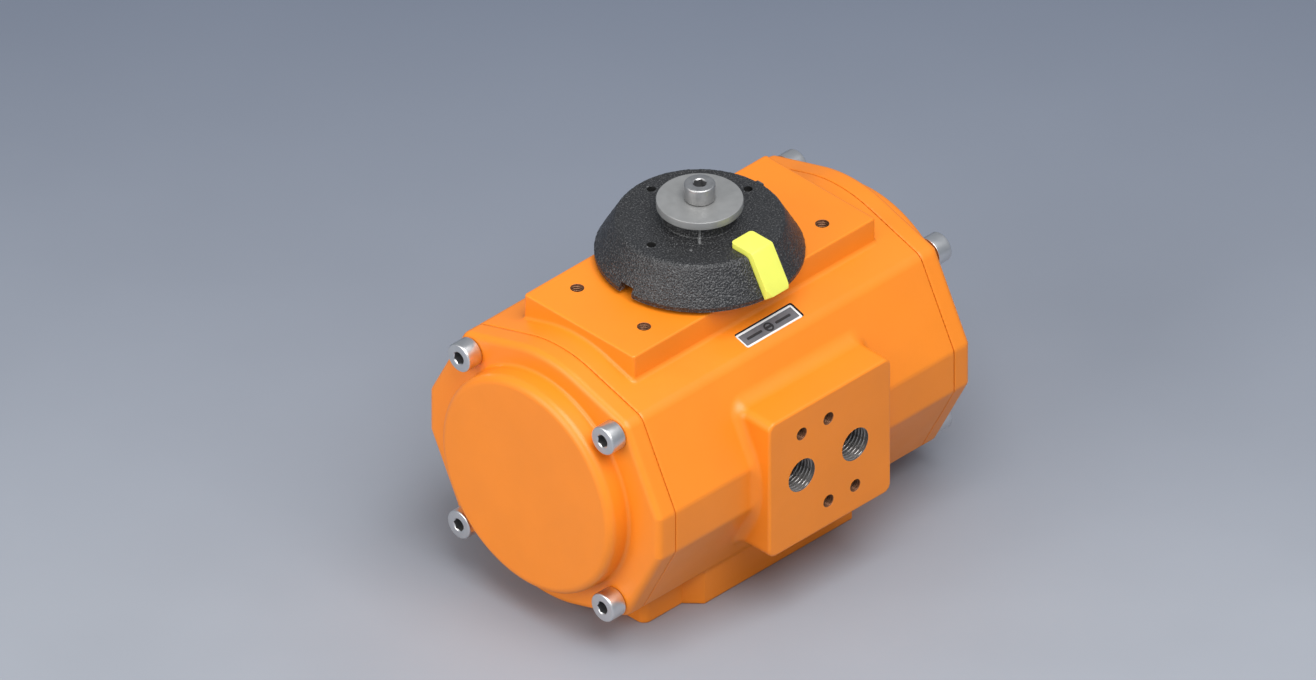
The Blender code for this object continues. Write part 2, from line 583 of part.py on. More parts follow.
def pinion_outline():
    """Involute teeth, one of them pointing at -Y and one at +Y."""
    base_r = PITCH_R * cos(PRESSURE_ANGLE)
    tip_r, root_r = PITCH_R + ADDENDUM, PITCH_R - DEDENDUM

    def involute(angle):
        return tan(angle) - angle

    def half_width(radius):
        at_pitch = pi / (2 * TEETH) - BACKLASH / PITCH_R
        return at_pitch + involute(PRESSURE_ANGLE) - involute(acos(min(1.0, base_r / radius)))

    radii = [root_r] + [base_r + (tip_r - base_r) * k / 3 for k in range(4)]
    points = []
    for tooth in range(TEETH):
        centre = 2 * pi * tooth / TEETH - pi / 2
        flank = [(r, half_width(max(r, base_r))) for r in radii]
        sides = [(r, centre - a) for r, a in flank] + [(r, centre + a) for r, a in flank[::-1]]
        points += [(r * cos(a), r * sin(a)) for r, a in sides]
    return points


def shaft_profile():
    edge = 1 * MM
    low, high = AXIS_Z - PINION_HALF + 0.5 * MM, AXIS_Z + PINION_HALF - 0.5 * MM

    def groove(radius, size):
        floor, bottom, top = size
        return [(radius, top), (floor, top), (floor, bottom), (radius, bottom)]

    upper = [(0, SHAFT_TOP_Z), (TIP_R - edge, SHAFT_TOP_Z), (TIP_R, SHAFT_TOP_Z - edge)]
    upper += [(TIP_R, SHAFT_STEP_Z), (UPPER_R, SHAFT_STEP_Z)]
    grooves = groove(UPPER_R, RING_GROOVE) + groove(UPPER_R, UPPER_SEAL_GROOVE)
    middle = [(UPPER_R, high), (NECK_R, high), (NECK_R, low), (CORE_R, low)]
    middle += [(CORE_R, LOWER_SHOULDER_Z), (LOWER_R, LOWER_SHOULDER_Z)]
    foot = [(LOWER_R, SHAFT_BOTTOM + edge), (LOWER_R - edge, SHAFT_BOTTOM), (0, SHAFT_BOTTOM)]
    return upper + grooves + middle + groove(LOWER_R, LOWER_SEAL_GROOVE) + foot


def make_shaft(turn):
    shaft = turned("pinion_shaft", shaft_profile(), PIECES, 24, STEEL)
    teeth = prism(pinion_outline(), AXIS_Z - PINION_HALF, AXIS_Z + PINION_HALF)
    combine(shaft, "UNION", cutter("pinion_teeth", teeth))
    half, reach = FLATS_AF / 2, 12 * MM
    for side in (-1, 1):
        low, high = sorted((side * half, side * reach))
        flat = box((low, -reach, SHAFT_STEP_Z), (high, reach, SHAFT_TOP_Z + OVERRUN))
        combine(shaft, "DIFFERENCE", cutter(f"shaft_flat_{side}", flat))
    drill(shaft, "shaft_thread", [(0, 0, SHAFT_TOP_Z)], (0, 0, 1), M6_R + GAP, SHAFT_THREAD_DEPTH, 12)
    for number in range(2):
        half = SOCKET_AF / 2
        square = box((-half, -half, SHAFT_BOTTOM - OVERRUN), (half, half, SHAFT_BOTTOM + SOCKET_DEPTH))
        socket = cutter(f"drive_square_{number}", square)
        socket.rotation_euler.z = number * pi / 4
        combine(shaft, "DIFFERENCE", socket)
    shaft.parent = turn


def make_shaft_seals_and_bushes(turn):
    for name, (ring_r, thick, z) in SHAFT_SEALS.items():
        seal = o_ring(f"{name}_shaft_seal", ring_r, thick, RUBBER)
        seal.location.z = z
        seal.parent = turn
    sleeve("lower_shaft_bush", LOWER_BUSH, ACETAL)
    sleeve("upper_shaft_bush", UPPER_BUSH, ACETAL)
    sleeve("thrust_washer", THRUST_WASHER, ACETAL).parent = turn
    sleeve("steel_washer", STEEL_WASHER, STEEL).parent = turn


def make_retaining_ring(turn):
    """An external circlip: a split ring whose two ends carry an eye for pliers."""
    low, high = CIRCLIP_Z
    inner, outer = CIRCLIP_R
    start, end = CIRCLIP_HALF_GAP, 2 * pi - CIRCLIP_HALF_GAP
    outline = arc((0, 0), outer, start, end, 24) + arc((0, 0), inner, end, start, 24)
    ring = piece("retaining_ring", prism(outline, low, high), STEEL)
    for side in (-1, 1):
        angle = side * (CIRCLIP_HALF_GAP + EYE_ANGLE)
        centre = (EYE_RING * cos(angle), EYE_RING * sin(angle), high)
        lug = rods([centre], (0, 0, 1), EYE_OUTER_R, high - low, 14)
        for vertex in lug.vertices:
            vertex.co.z = min(vertex.co.z, high)
        combine(ring, "UNION", cutter(f"ring_lug_{side}", lug))
        drill(ring, f"ring_eye_{side}", [centre], (0, 0, 1), EYE_HOLE_R, 4 * MM, 10)
    smooth(ring)
    ring.parent = turn


# ---------------------------------------------------------------- indicator


def cone_profile():
    """A hollow cone whose hub stands on the shaft's step. A collar on top reaches up to the disc."""
    top, bottom = CONE_TOP_Z, CONE_BOTTOM_Z
    outer = [(0, SHAFT_TOP_Z), (COLLAR_R, SHAFT_TOP_Z), (COLLAR_R, top), (CONE_TOP_R, top)]
    outer += [(CONE_TOP_R + 0.9 * MM, top - 0.5 * MM), (CONE_TOP_R + 1.5 * MM, top - 1.5 * MM)]
    outer += [(CONE_BASE_R, bottom + 1.8 * MM), (CONE_BASE_R - 0.2 * MM, bottom)]
    ceiling = top - CONE_WALL
    inner = [(CONE_BASE_R - CONE_WALL, bottom), (CONE_TOP_R - 1 * MM, ceiling), (HUB_R, ceiling)]
    hub = SHAFT_STEP_Z + GAP
    return outer + inner + [(HUB_R, hub), (0, hub)]


def make_indicator_cap(turn):
    cone = turned("indicator_cap", cone_profile(), PIECES, 36, BLACK)
    low, high = CONE_TOP_R - 2 * MM, CONE_TOP_R + 1.5 * MM
    tick = box((low, -TICK_HALF, CONE_TOP_Z - CONE_WALL), (high, TICK_HALF, CONE_TOP_Z - 0.1 * MM))
    combine(cone, "UNION", cutter("tick", tick))
    combine(cone, "DIFFERENCE", pointer_seat())
    ring = PEG_HOLE_RING
    holes = [(x, y, CONE_TOP_Z) for x, y in ((ring, 0), (0, ring), (-ring, 0), (0, -ring))]
    drill(cone, "peg_holes", holes, (0, 0, 1), PEG_HOLE_R, 6 * MM, 12)
    reach = 12 * MM
    half = FLATS_AF / 2 + GAP
    bore = rods([(0, 0, SHAFT_TOP_Z)], (0, 0, 1), TIP_R + GAP, SHAFT_TOP_Z - SHAFT_STEP_Z + OVERRUN, 24)
    low, high = SHAFT_STEP_Z - 2 * OVERRUN, SHAFT_TOP_Z + 2 * OVERRUN
    flats = cutter("hub_flats", box((-half, -reach, low), (half, reach, high)))
    hub_bore = cutter("hub_bore", bore)
    combine(hub_bore, "INTERSECT", flats)
    combine(cone, "DIFFERENCE", hub_bore)
    low, high = CONE_BOTTOM_Z - OVERRUN, CONE_BOTTOM_Z + NOTCH_HEIGHT
    notch = box((-40 * MM, -NOTCH_HALF, low), (-28 * MM, NOTCH_HALF, high))
    combine(cone, "DIFFERENCE", cutter("base_notch", notch))
    cone.parent = turn


def pointer_outline(grow):
    """The pointer from the side, as (y, z): flat in the cap's top, then down in its slope."""
    top = CONE_TOP_Z + POINTER_RISE
    low = top - POINTER_THICK - grow
    bend, tip = Vector((POINTER_BEND_Y, top)), Vector((POINTER_END_Y, POINTER_END_Z))
    down = (tip - bend).normalized()
    inward = Vector((-down.y, down.x)) * (POINTER_THICK + grow)
    inner_y = bend.x + inward.x + down.x / down.y * (low - bend.y - inward.y)
    tip += down * grow
    start = POINTER_START_Y + grow
    return [(start, top), tuple(bend), tuple(tip), tuple(tip + inward), (inner_y, low), (start, low)]


def pointer_plan(grow):
    """The pointer from above: one corner of its end is cut off, the others are round."""
    half, start, end = POINTER_HALF + grow, POINTER_START_Y + grow, POINTER_END_Y - grow
    across, along = POINTER_CHAMFER
    corners = [(half, start, POINTER_ROUND), (half, end, POINTER_ROUND), (across - half, end, 0)]
    corners += [(-half, end + along, 0), (-half, start, POINTER_ROUND)]
    return prism(rounded(corners), PAD_Z, PAD_Z + 30 * MM)


def pointer_seat():
    """The pointer's shape with a gap all round, to be cut from the cap."""
    half = POINTER_HALF + GAP
    seat = cutter("pointer_seat", prism(pointer_outline(GAP), -half, half, "X"))
    combine(seat, "INTERSECT", cutter("pointer_seat_plan", pointer_plan(GAP)))
    return seat


def make_pointer(turn):
    side = prism(pointer_outline(0), -POINTER_HALF, POINTER_HALF, "X")
    pointer = piece("pointer", side, YELLOW)
    combine(pointer, "INTERSECT", cutter("pointer_plan", pointer_plan(0)))
    peg_top = (0, -PEG_HOLE_RING, CONE_TOP_Z + POINTER_RISE - POINTER_THICK)
    peg = rods([peg_top], (0, 0, 1), PEG_HOLE_R - GAP, PEG_DEPTH, 12)
    combine(pointer, "UNION", cutter("pointer_peg", peg))
    pointer.parent = turn


def make_retaining_disc(turn):
    low = SHAFT_TOP_Z + GAP
    high = low + DISC_THICK
    edge, hole = 0.3 * MM, M6_R + GAP
    wall = [(DISC_R - edge, high), (DISC_R, high - edge), (DISC_R, low), (hole, low), (hole, high)]
    turned("retaining_disc", wall, PIECES, 36, GREY, closed=True).parent = turn
    screw = socket_screw("indicator_screw", INDICATOR_BOLT_LENGTH)
    screw.location.z = high + GAP
    screw.parent = turn


# ---------------------------------------------------------------- assembly

clear_scene()
PIECES = new_collection("rotary_pneumatic_actuator")
CUTTERS = new_collection("cutters")
PAINT = new_material("orange_paint", (0.90, 0.27, 0.03), 0.42, 0.0)
STAINLESS = new_material("stainless_steel", (0.62, 0.60, 0.57), 0.30, 1.0)
STEEL = new_material("machined_steel", (0.45, 0.45, 0.46), 0.38, 1.0)
BARE = new_material("cast_aluminium", (0.72, 0.72, 0.72), 0.50, 0.9)
GREY = new_material("grey_disc", (0.36, 0.36, 0.36), 0.45, 0.4)
BLACK = new_material("black_plastic", (0.028, 0.028, 0.030), 0.62, 0.0)
YELLOW = new_material("yellow_plastic", (0.90, 0.86, 0.06), 0.40, 0.0)
RUBBER = new_material("nitrile_rubber", (0.015, 0.015, 0.016), 0.75, 0.0)
ACETAL = new_material("white_acetal", (0.80, 0.78, 0.70), 0.55, 0.0)
LABEL = new_material("label_plate", (0.45, 0.45, 0.46), 0.45, 0.2)

SHAFT_TURN = bpy.data.objects.new("shaft_turn", None)
PIECES.objects.link(SHAFT_TURN)

make_body()
make_label()
for cap_name, cap_side in (("left", -1), ("right", 1)):
    make_end_cap(cap_name, cap_side)
    make_cap_seals(cap_name, cap_side)
    make_cap_screws(cap_name, cap_side)
    make_piston(cap_name, cap_side)
make_shaft(SHAFT_TURN)
make_shaft_seals_and_bushes(SHAFT_TURN)
make_retaining_ring(SHAFT_TURN)
make_indicator_cap(SHAFT_TURN)
make_pointer(SHAFT_TURN)
make_retaining_disc(SHAFT_TURN)
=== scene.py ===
"""Detailed look of a quarter-turn rack-and-pinion pneumatic actuator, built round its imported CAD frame.

Shapes are worked out in millimetres along the frame's own axes and become metres when a mesh is made.
The cast pieces are level sets of a distance function, so every fillet between their pads is a real one.
"""

from math import acos, cos, pi, radians, sin, sqrt, tan

import bmesh
import bpy
import numpy as np
from mathutils import Matrix, Vector, noise


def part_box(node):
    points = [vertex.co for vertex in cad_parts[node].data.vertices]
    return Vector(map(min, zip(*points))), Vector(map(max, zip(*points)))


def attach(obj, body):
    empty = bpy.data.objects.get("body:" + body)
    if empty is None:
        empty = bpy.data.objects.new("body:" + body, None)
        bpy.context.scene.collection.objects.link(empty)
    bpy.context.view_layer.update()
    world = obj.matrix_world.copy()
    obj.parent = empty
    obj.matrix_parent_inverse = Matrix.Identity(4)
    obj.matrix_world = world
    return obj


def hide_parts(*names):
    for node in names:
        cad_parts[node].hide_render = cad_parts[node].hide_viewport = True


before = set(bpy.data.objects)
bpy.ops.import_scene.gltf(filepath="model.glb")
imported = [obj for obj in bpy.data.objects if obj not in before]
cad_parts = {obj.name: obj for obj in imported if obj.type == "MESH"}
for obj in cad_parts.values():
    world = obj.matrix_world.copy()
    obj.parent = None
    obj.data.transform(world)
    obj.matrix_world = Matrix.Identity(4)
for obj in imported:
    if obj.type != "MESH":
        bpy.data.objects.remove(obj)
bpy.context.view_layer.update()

MM = 0.001
AXIS_Z = 51.0
PAD_Z = 101.4
BODY_HALF = 62.4
CAP_INNER = 62.7
CAP_FACE = 70.1
PORT_FACE_Y = -57.8
PORT_X = 12.0
BORE_R = 37.5
DOME_R, DOME_END = 38.3, 78.6
CHANNEL_Y, CHANNEL_Z, CHANNEL_R = -46.0, AXIS_Z + 5.5, 1.75
GRID = 0.8
VIEW_WIDTH, VIEW_LEFT, VIEW_DOWN, VIEW_BACK = 0.41778, 0.01325, 0.02675, 1.2
LAMP_DISTANCE = 1.1


# ---------------------------------------------------------------- camera, floor and light


def set_camera():
    """An isometric view from the front left. The pad's centre is a little above and right of the middle."""
    right = Vector((1, -1, 0)).normalized()
    up = Vector((1, 1, 2)).normalized()
    back = right.cross(up)
    data = bpy.data.cameras.new("camera")
    data.type = "ORTHO"
    data.ortho_scale = VIEW_WIDTH
    data.clip_end = 20
    camera = bpy.data.objects.new("camera", data)
    eye = Vector((0, 0, PAD_Z * MM)) - right * VIEW_LEFT - up * VIEW_DOWN + back * VIEW_BACK
    camera.matrix_world = Matrix((
        (right.x, up.x, back.x, eye.x),
        (right.y, up.y, back.y, eye.y),
        (right.z, up.z, back.z, eye.z),
        (0, 0, 0, 1),
    ))
    bpy.context.scene.collection.objects.link(camera)
    bpy.context.scene.camera = camera


def soft_lamp(name, towards, energy, size, colour=(1, 1, 1)):
    """A square lamp in the given direction, facing the object."""
    lamp = bpy.data.lights.new(name, "AREA")
    lamp.energy = energy
    lamp.size = size
    lamp.color = colour
    obj = bpy.data.objects.new(name, lamp)
    away = Vector(towards).normalized()
    obj.location = away * LAMP_DISTANCE + Vector((0, 0, 0.05))
    obj.rotation_euler = away.to_track_quat("Z", "Y").to_euler()
    bpy.context.scene.collection.objects.link(obj)


def set_stage():
    world = bpy.data.worlds.new("studio")
    world.use_nodes = True
    world.node_tree.nodes["Background"].inputs["Color"].default_value = (0.78, 0.84, 0.93, 1)
    world.node_tree.nodes["Background"].inputs["Strength"].default_value = 0.42
    bpy.context.scene.world = world
    bpy.context.scene.view_settings.view_transform = "Standard"
    soft_lamp("overhead_lamp", (-0.15, -0.45, 1.0), 14.0, 0.9)
    soft_lamp("left_lamp", (-1.0, 0.10, 0.42), 7.0, 0.8, (1.0, 0.98, 0.95))
    soft_lamp("front_lamp", (-0.1, -1.0, 0.25), 0.35, 0.9, (0.95, 0.97, 1.0))
    half = 2.0
    mesh = bpy.data.meshes.new("floor")
    corners = [(-half, -half, 0), (half, -half, 0), (half, half, 0), (-half, half, 0)]
    mesh.from_pydata(corners, [], [(0, 1, 2, 3)])
    floor = bpy.data.objects.new("floor", mesh)
    grey = Finish("studio_floor", (0.31, 0.33, 0.37), 0.75).mottle(0.02, 120.0)
    # Painted shade: the floor darkens towards the back, along +X and +Y, away from the lamps.
    mesh.materials.append(grey.fade((0.70, 0.70, 0), -0.05, 0.45, (0.115, 0.145, 0.21)).done())
    bpy.context.scene.collection.objects.link(floor)


# ---------------------------------------------------------------- materials


class Finish:
    """A Principled material, built up from object-space textures. Sizes are in millimetres."""

    def __init__(self, name, colour, roughness, metallic=0.0, **sockets):
        self.material = bpy.data.materials.new(name)
        self.material.use_nodes = True
        self.tree = self.material.node_tree
        self.shader = self.tree.nodes["Principled BSDF"]
        self.colour = colour
        self.roughness = roughness
        self.shader.inputs["Base Color"].default_value = (*colour, 1)
        self.shader.inputs["Roughness"].default_value = roughness
        self.shader.inputs["Metallic"].default_value = metallic
        for name, value in sockets.items():
            self.shader.inputs[name.replace("_", " ").title().replace("Ior", "IOR")].default_value = value
        self.coords = self.tree.nodes.new("ShaderNodeTexCoord").outputs["Object"]
        self.colour_out = None
        self.rough_out = None
        self.normal_out = None

    def node(self, kind, links=(), **settings):
        made = self.tree.nodes.new(kind)
        for key, value in settings.items():
            setattr(made, key, value)
        for socket, value in dict(links).items():
            if isinstance(value, bpy.types.NodeSocket):
                self.tree.links.new(value, made.inputs[socket])
            else:
                made.inputs[socket].default_value = value
        return made

    def stretched(self, stretch):
        if stretch == (1, 1, 1):
            return self.coords
        return self.node("ShaderNodeMapping", {"Vector": self.coords, "Scale": stretch}).outputs[0]

    def noise(self, size, detail=3.0, stretch=(1, 1, 1)):
        links = {"Vector": self.stretched(stretch), "Scale": 1000 / size, "Detail": detail}
        return self.node("ShaderNodeTexNoise", links).outputs["Fac"]

    def ramp(self, value, low, high, start=0.0, end=1.0):
        links = {"Value": value, "From Min": low, "From Max": high, "To Min": start, "To Max": end}
        return self.node("ShaderNodeMapRange", links).outputs["Result"]

    def tint(self, amount, colour):
        """Blends the colour towards another by an amount that a socket gives."""
        mix = self.node("ShaderNodeMix", data_type="RGBA")
        self.tree.links.new(amount, mix.inputs["Factor"])
        sockets = [s for s in mix.inputs if s.type == "RGBA"]
        if self.colour_out:
            self.tree.links.new(self.colour_out, sockets[0])
        else:
            sockets[0].default_value = (*self.colour, 1)
        sockets[1].default_value = (*colour, 1)
        self.colour_out = [s for s in mix.outputs if s.type == "RGBA"][0]
        return self

    def mottle(self, amount, size, detail=4.0):
        """Slow light and dark variation of the colour, and a little of the roughness."""
        field = self.noise(size, detail)
        self.tint(self.ramp(field, 0.35, 0.75, 0, 1), tuple(c * (1 - 4 * amount) for c in self.colour))
        finer, rough = self.noise(size * 0.6, detail), self.roughness
        self.rough_out = self.ramp(finer, 0.3, 0.7, rough * 0.9, rough * 1.12)
        return self

    def bump(self, height, depth):
        """Adds a height field, with its depth in millimetres, to the bumps so far."""
        links = {"Height": height, "Distance": depth * MM, "Strength": 1.0}
        if self.normal_out:
            links["Normal"] = self.normal_out
        self.normal_out = self.node("ShaderNodeBump", links).outputs["Normal"]
        return self

    def grain(self, size, depth, detail=3.0, stretch=(1, 1, 1)):
        return self.bump(self.noise(size, detail, stretch), depth)

    def pebble(self, size, depth):
        """Rounded cells with creases between them, as on leather-grained castings."""
        links = {"Vector": self.coords, "Scale": 1000 / size, "Smoothness": 0.6}
        cells = self.node("ShaderNodeTexVoronoi", links, feature="SMOOTH_F1").outputs["Distance"]
        return self.bump(self.ramp(cells, 0.05, 0.75, 1, 0), depth)

    def edges(self, low, high, colour):
        """Paint or plastic paler where the surface turns sharply: partly wear, partly a painted highlight
        on rims and raised grain.
        """
        point = self.node("ShaderNodeNewGeometry").outputs["Pointiness"]
        links = {0: self.ramp(point, low, high), 1: self.noise(1.6, 5.0)}
        patchy = self.node("ShaderNodeMath", links, operation="MULTIPLY")
        return self.tint(patchy.outputs[0], colour)

    def fade(self, towards, near, far, colour):
        """Blends the colour towards another with the distance in metres along a direction."""
        along = self.node("ShaderNodeVectorMath", {0: self.coords, 1: towards}, operation="DOT_PRODUCT")
        return self.tint(self.ramp(along.outputs["Value"], near, far), colour)

    def done(self):
        outs = {"Base Color": self.colour_out, "Roughness": self.rough_out, "Normal": self.normal_out}
        for socket, out in outs.items():
            if out:
                self.tree.links.new(out, self.shader.inputs[socket])
        return self.material


def make_finishes():
    orange = (0.90, 0.245, 0.010)
    paint = Finish("cast_orange_enamel", orange, 0.43, coat_weight=0.05, coat_roughness=0.25)
    paint.mottle(0.018, 26.0).grain(1.1, 0.022, 2.0).grain(7.0, 0.05, 2.0)
    metal = Finish("machined_bore", (0.24, 0.23, 0.225), 0.40, 0.8)
    metal.mottle(0.05, 5.0).grain(0.35, 0.02, 4.0)
    thread = Finish("cut_thread", (0.46, 0.435, 0.415), 0.36, 0.8)
    thread.mottle(0.05, 5.0).grain(0.35, 0.012, 4.0)
    # Painted shade: the small holes' threads are the orange paint darkened for the shade inside the holes.
    small_thread = Finish("small_thread", (0.27, 0.125, 0.065), 0.42, 0.6)
    small_thread.mottle(0.05, 3.0).grain(0.35, 0.02, 4.0)
    stainless = Finish("stainless_screw", (0.72, 0.72, 0.72), 0.34, 1.0)
    stainless.mottle(0.02, 3.5).grain(0.5, 0.005, 4.0, (1, 1, 6))
    # Painted shade: the hex socket's walls and drill end are a darker steel than the head, for the shade
    # inside the socket.
    worn = Finish("shaded_socket_wall", (0.20, 0.20, 0.205), 0.45, 0.8)
    worn.mottle(0.05, 2.0)
    bolt = Finish("worn_bolt", (0.50, 0.495, 0.49), 0.44, 1.0)
    bolt.mottle(0.05, 2.0).grain(0.4, 0.010, 5.0, (1, 1, 8))
    # Painted shade: near-black for the walls of the label's pocket and the peg holes, where shade falls
    # inside.
    hollow = Finish("dark_hollow", (0.010, 0.010, 0.010), 0.7)
    hollow.mottle(0.05, 2.0)
    # Painted shade: the paint inside the small tapped holes, darkened for the shade within them.
    drilled = Finish("drilled_wall", (0.30, 0.12, 0.055), 0.45, 0.4)
    drilled.mottle(0.04, 2.0)
    steel = Finish("ground_steel", (0.50, 0.50, 0.51), 0.30, 1.0)
    steel.mottle(0.04, 4.0).grain(0.4, 0.012, 4.0, (1, 1, 6))
    cast = Finish("cast_aluminium_bare", (0.66, 0.67, 0.68), 0.46, 0.9)
    cast.mottle(0.04, 9.0).grain(1.4, 0.05, 5.0).grain(0.3, 0.015)
    disc = Finish("zinc_disc", (0.30, 0.30, 0.295), 0.42, 0.35)
    disc.mottle(0.03, 3.0).grain(0.3, 0.012, 4.0)
    black = Finish("grained_black", (0.018, 0.018, 0.019), 0.34)
    # Paler sharp edges: partly wear, partly a painted highlight along the cone's rim and raised grain.
    black.mottle(0.05, 3.0).pebble(0.62, 0.20).grain(0.5, 0.16, 6.0).edges(0.53, 0.60, (0.30, 0.30, 0.30))
    black.tint(black.ramp(black.noise(0.5, 6.0), 0.53, 0.67), (0.10, 0.10, 0.10))
    yellow = Finish("yellow_pointer", (0.82, 0.81, 0.12), 0.42, subsurface_weight=0.05)
    yellow.mottle(0.015, 6.0).grain(0.6, 0.018, 3.0)
    rubber = Finish("nitrile", (0.016, 0.016, 0.017), 0.62)
    rubber.mottle(0.06, 2.0).grain(0.4, 0.02, 3.0)
    acetal = Finish("natural_acetal", (0.80, 0.78, 0.69), 0.42, subsurface_weight=0.08)
    acetal.mottle(0.02, 5.0).grain(0.8, 0.02, 3.0)
    # A pale rim, its white partly a painted reflection along the label's frame.
    rim = Finish("label_rim", (0.86, 0.86, 0.85), 0.40)
    rim.mottle(0.02, 4.0).grain(0.5, 0.015)
    field = Finish("label_field", (0.20, 0.20, 0.215), 0.42, 0.3)
    field.mottle(0.05, 2.0).grain(0.3, 0.012, 3.0, (1, 8, 1))
    mark = Finish("label_mark", (0.03, 0.03, 0.032), 0.5)
    mark.mottle(0.05, 1.5).grain(0.4, 0.01)
    made = dict(paint=paint, metal=metal, stainless=stainless, steel=steel, cast=cast, disc=disc)
    made.update(black=black, yellow=yellow, rubber=rubber, acetal=acetal, rim=rim, field=field)
    made.update(mark=mark, thread=thread, small_thread=small_thread, bolt=bolt)
    made.update(hollow=hollow, drilled=drilled, worn=worn)
    return {key: finish.done() for key, finish in made.items()}


# ---------------------------------------------------------------- distance functions


def round_max(a, b, radius):
    """Both inside: an edge rounded with the radius where two faces meet at a right angle."""
    corner = np.hypot(np.maximum(a + radius, 0), np.maximum(b + radius, 0))
    return np.minimum(-radius, np.maximum(a, b)) + corner


def round_min(a, b, radius):
    """Either inside, with a fillet where they meet."""
    return -round_max(-a, -b, radius)


ROOF = radians(17)
ARC_R = 46.4
SHOULDER = (36.5, 37.4)
SIDE_Y, SIDE_HALF = 51.8, 7.7
SLANT = Vector((SHOULDER[1] - SIDE_HALF, SIDE_Y - SHOULDER[0])).normalized()


def section(y, h):
    """The housing's outline, from its y and its height over the bore's axis."""
    y, h = np.abs(y), np.abs(h)
    flat = y * sin(ROOF) + h * cos(ROOF) - ARC_R
    roof = np.where(y < h * tan(ROOF), np.hypot(y, h) - ARC_R, flat)
    slant = y * SLANT.x + h * SLANT.y - SLANT.dot(Vector(SHOULDER))
    return round_max(round_max(roof, slant, 1.5), y - SIDE_Y, 0.4)


def housing_distance(points):
    x, y, z = points.T
    h = z - AXIS_Z
    shape = section(y, h)
    top = round_max(round_max(np.abs(x) - 54.3, np.abs(y) - 24.7, 1.0), z - PAD_Z, 0.7)
    shape = round_min(shape, np.maximum(top, 89.0 - z), 1.2)
    ax, ay = np.abs(x), np.abs(y)
    plain = round_max(ax - 55.0, ay - 30.0, 3.0)
    wide = np.maximum(ay - 35.3, 0.7274 * ax + 0.6862 * ay - 48.23)
    foot = round_max(np.minimum(plain, wide), -z, 0.6)
    shape = round_min(shape, np.maximum(foot, z - 15.0), 2.0)
    port = round_max(np.abs(x - 0.9) - 27.3, np.abs(h) - 25.9, 3.0)
    port = round_max(port, PORT_FACE_Y - y, 1.0)
    shape = round_min(shape, np.maximum(port, y + 38.0), 3.5)
    return round_max(shape, ax - BODY_HALF, 0.25)


def cap_distance(points):
    """The end cap on the +X side."""
    x, y, z = points.T
    h = z - AXIS_Z
    ring = round_max(section(y, h), x - CAP_FACE, 2.5)
    dome = round_max(np.hypot(y, h) - DOME_R, x - DOME_END, 3.0)
    return round_max(round_min(ring, dome, 1.2), CAP_INNER - x, 0.25)


def gradient(distance, points, reach=0.01):
    steps = np.eye(3) * reach
    slope = np.stack([distance(points + step) - distance(points - step) for step in steps], 1)
    return slope / np.maximum(np.linalg.norm(slope, axis=1, keepdims=True), 1e-12)


def contour(distance, low, high, step):
    """Points and quads of the surface where the distance is 0. Dual contouring keeps its edges sharp."""
    low = np.array(low, float)
    counts = np.ceil((np.array(high) - low) / step).astype(int) + 1
    lattice = np.stack(np.meshgrid(*(np.arange(n) for n in counts), indexing="ij"), -1)
    value = distance(low + step * lattice.reshape(-1, 3)).reshape(counts)
    del lattice
    inside = value < 0
    owners, spots, quads = [], [], []
    for axis in range(3):
        one, two = (np.take(value, range(k, counts[axis] - 1 + k), axis) for k in (0, 1))
        start = np.argwhere((one < 0) != (two < 0))
        unit = np.eye(3, dtype=int)[axis]
        a, b = value[tuple(start.T)], value[tuple((start + unit).T)]
        low_t, high_t = np.zeros(len(start)), np.ones(len(start))
        for _ in range(4):
            t = low_t + (high_t - low_t) * a / (a - b)
            now = distance(low + step * (start + t[:, None] * unit))
            same = (now < 0) == (a < 0)
            low_t, a = np.where(same, t, low_t), np.where(same, now, a)
            high_t, b = np.where(same, high_t, t), np.where(same, b, now)
        across, over = np.eye(3, dtype=int)[(axis + 1) % 3], np.eye(3, dtype=int)[(axis + 2) % 3]
        around = (start - p * across - q * over for p, q in ((1, 1), (0, 1), (0, 0), (1, 0)))
        ring = [np.ravel_multi_index(cell.T, counts) for cell in around]
        quad = np.stack(ring, 1)
        outward = inside[tuple(start.T)]
        quads.append(np.where(outward[:, None], quad, quad[:, ::-1]))
        owners += ring
        spots += [low + step * (start + t[:, None] * unit)] * 4
    owners, spots, quads = np.concatenate(owners), np.concatenate(spots), np.concatenate(quads)
    normals = gradient(distance, spots)
    cells, owner = np.unique(owners, return_inverse=True)
    owner = owner.reshape(-1)
    share = np.bincount(owner)

    def total(values):
        flat = values.reshape(len(values), -1)
        summed = np.stack([np.bincount(owner, column, len(cells)) for column in flat.T], 1)
        return summed.reshape((len(cells),) + values.shape[1:])

    middle = total(spots) / share[:, None]
    offset = ((spots - middle[owner]) * normals).sum(1)
    matrix = total(normals[:, :, None] * normals[:, None, :]) + 0.03 * np.eye(3)
    move = np.linalg.solve(matrix, total(normals * offset[:, None])[:, :, None])[:, :, 0]
    points = middle + np.clip(move, -step, step)
    for _ in range(2):
        points -= distance(points)[:, None] * gradient(distance, points)
    return points, np.searchsorted(cells, quads)


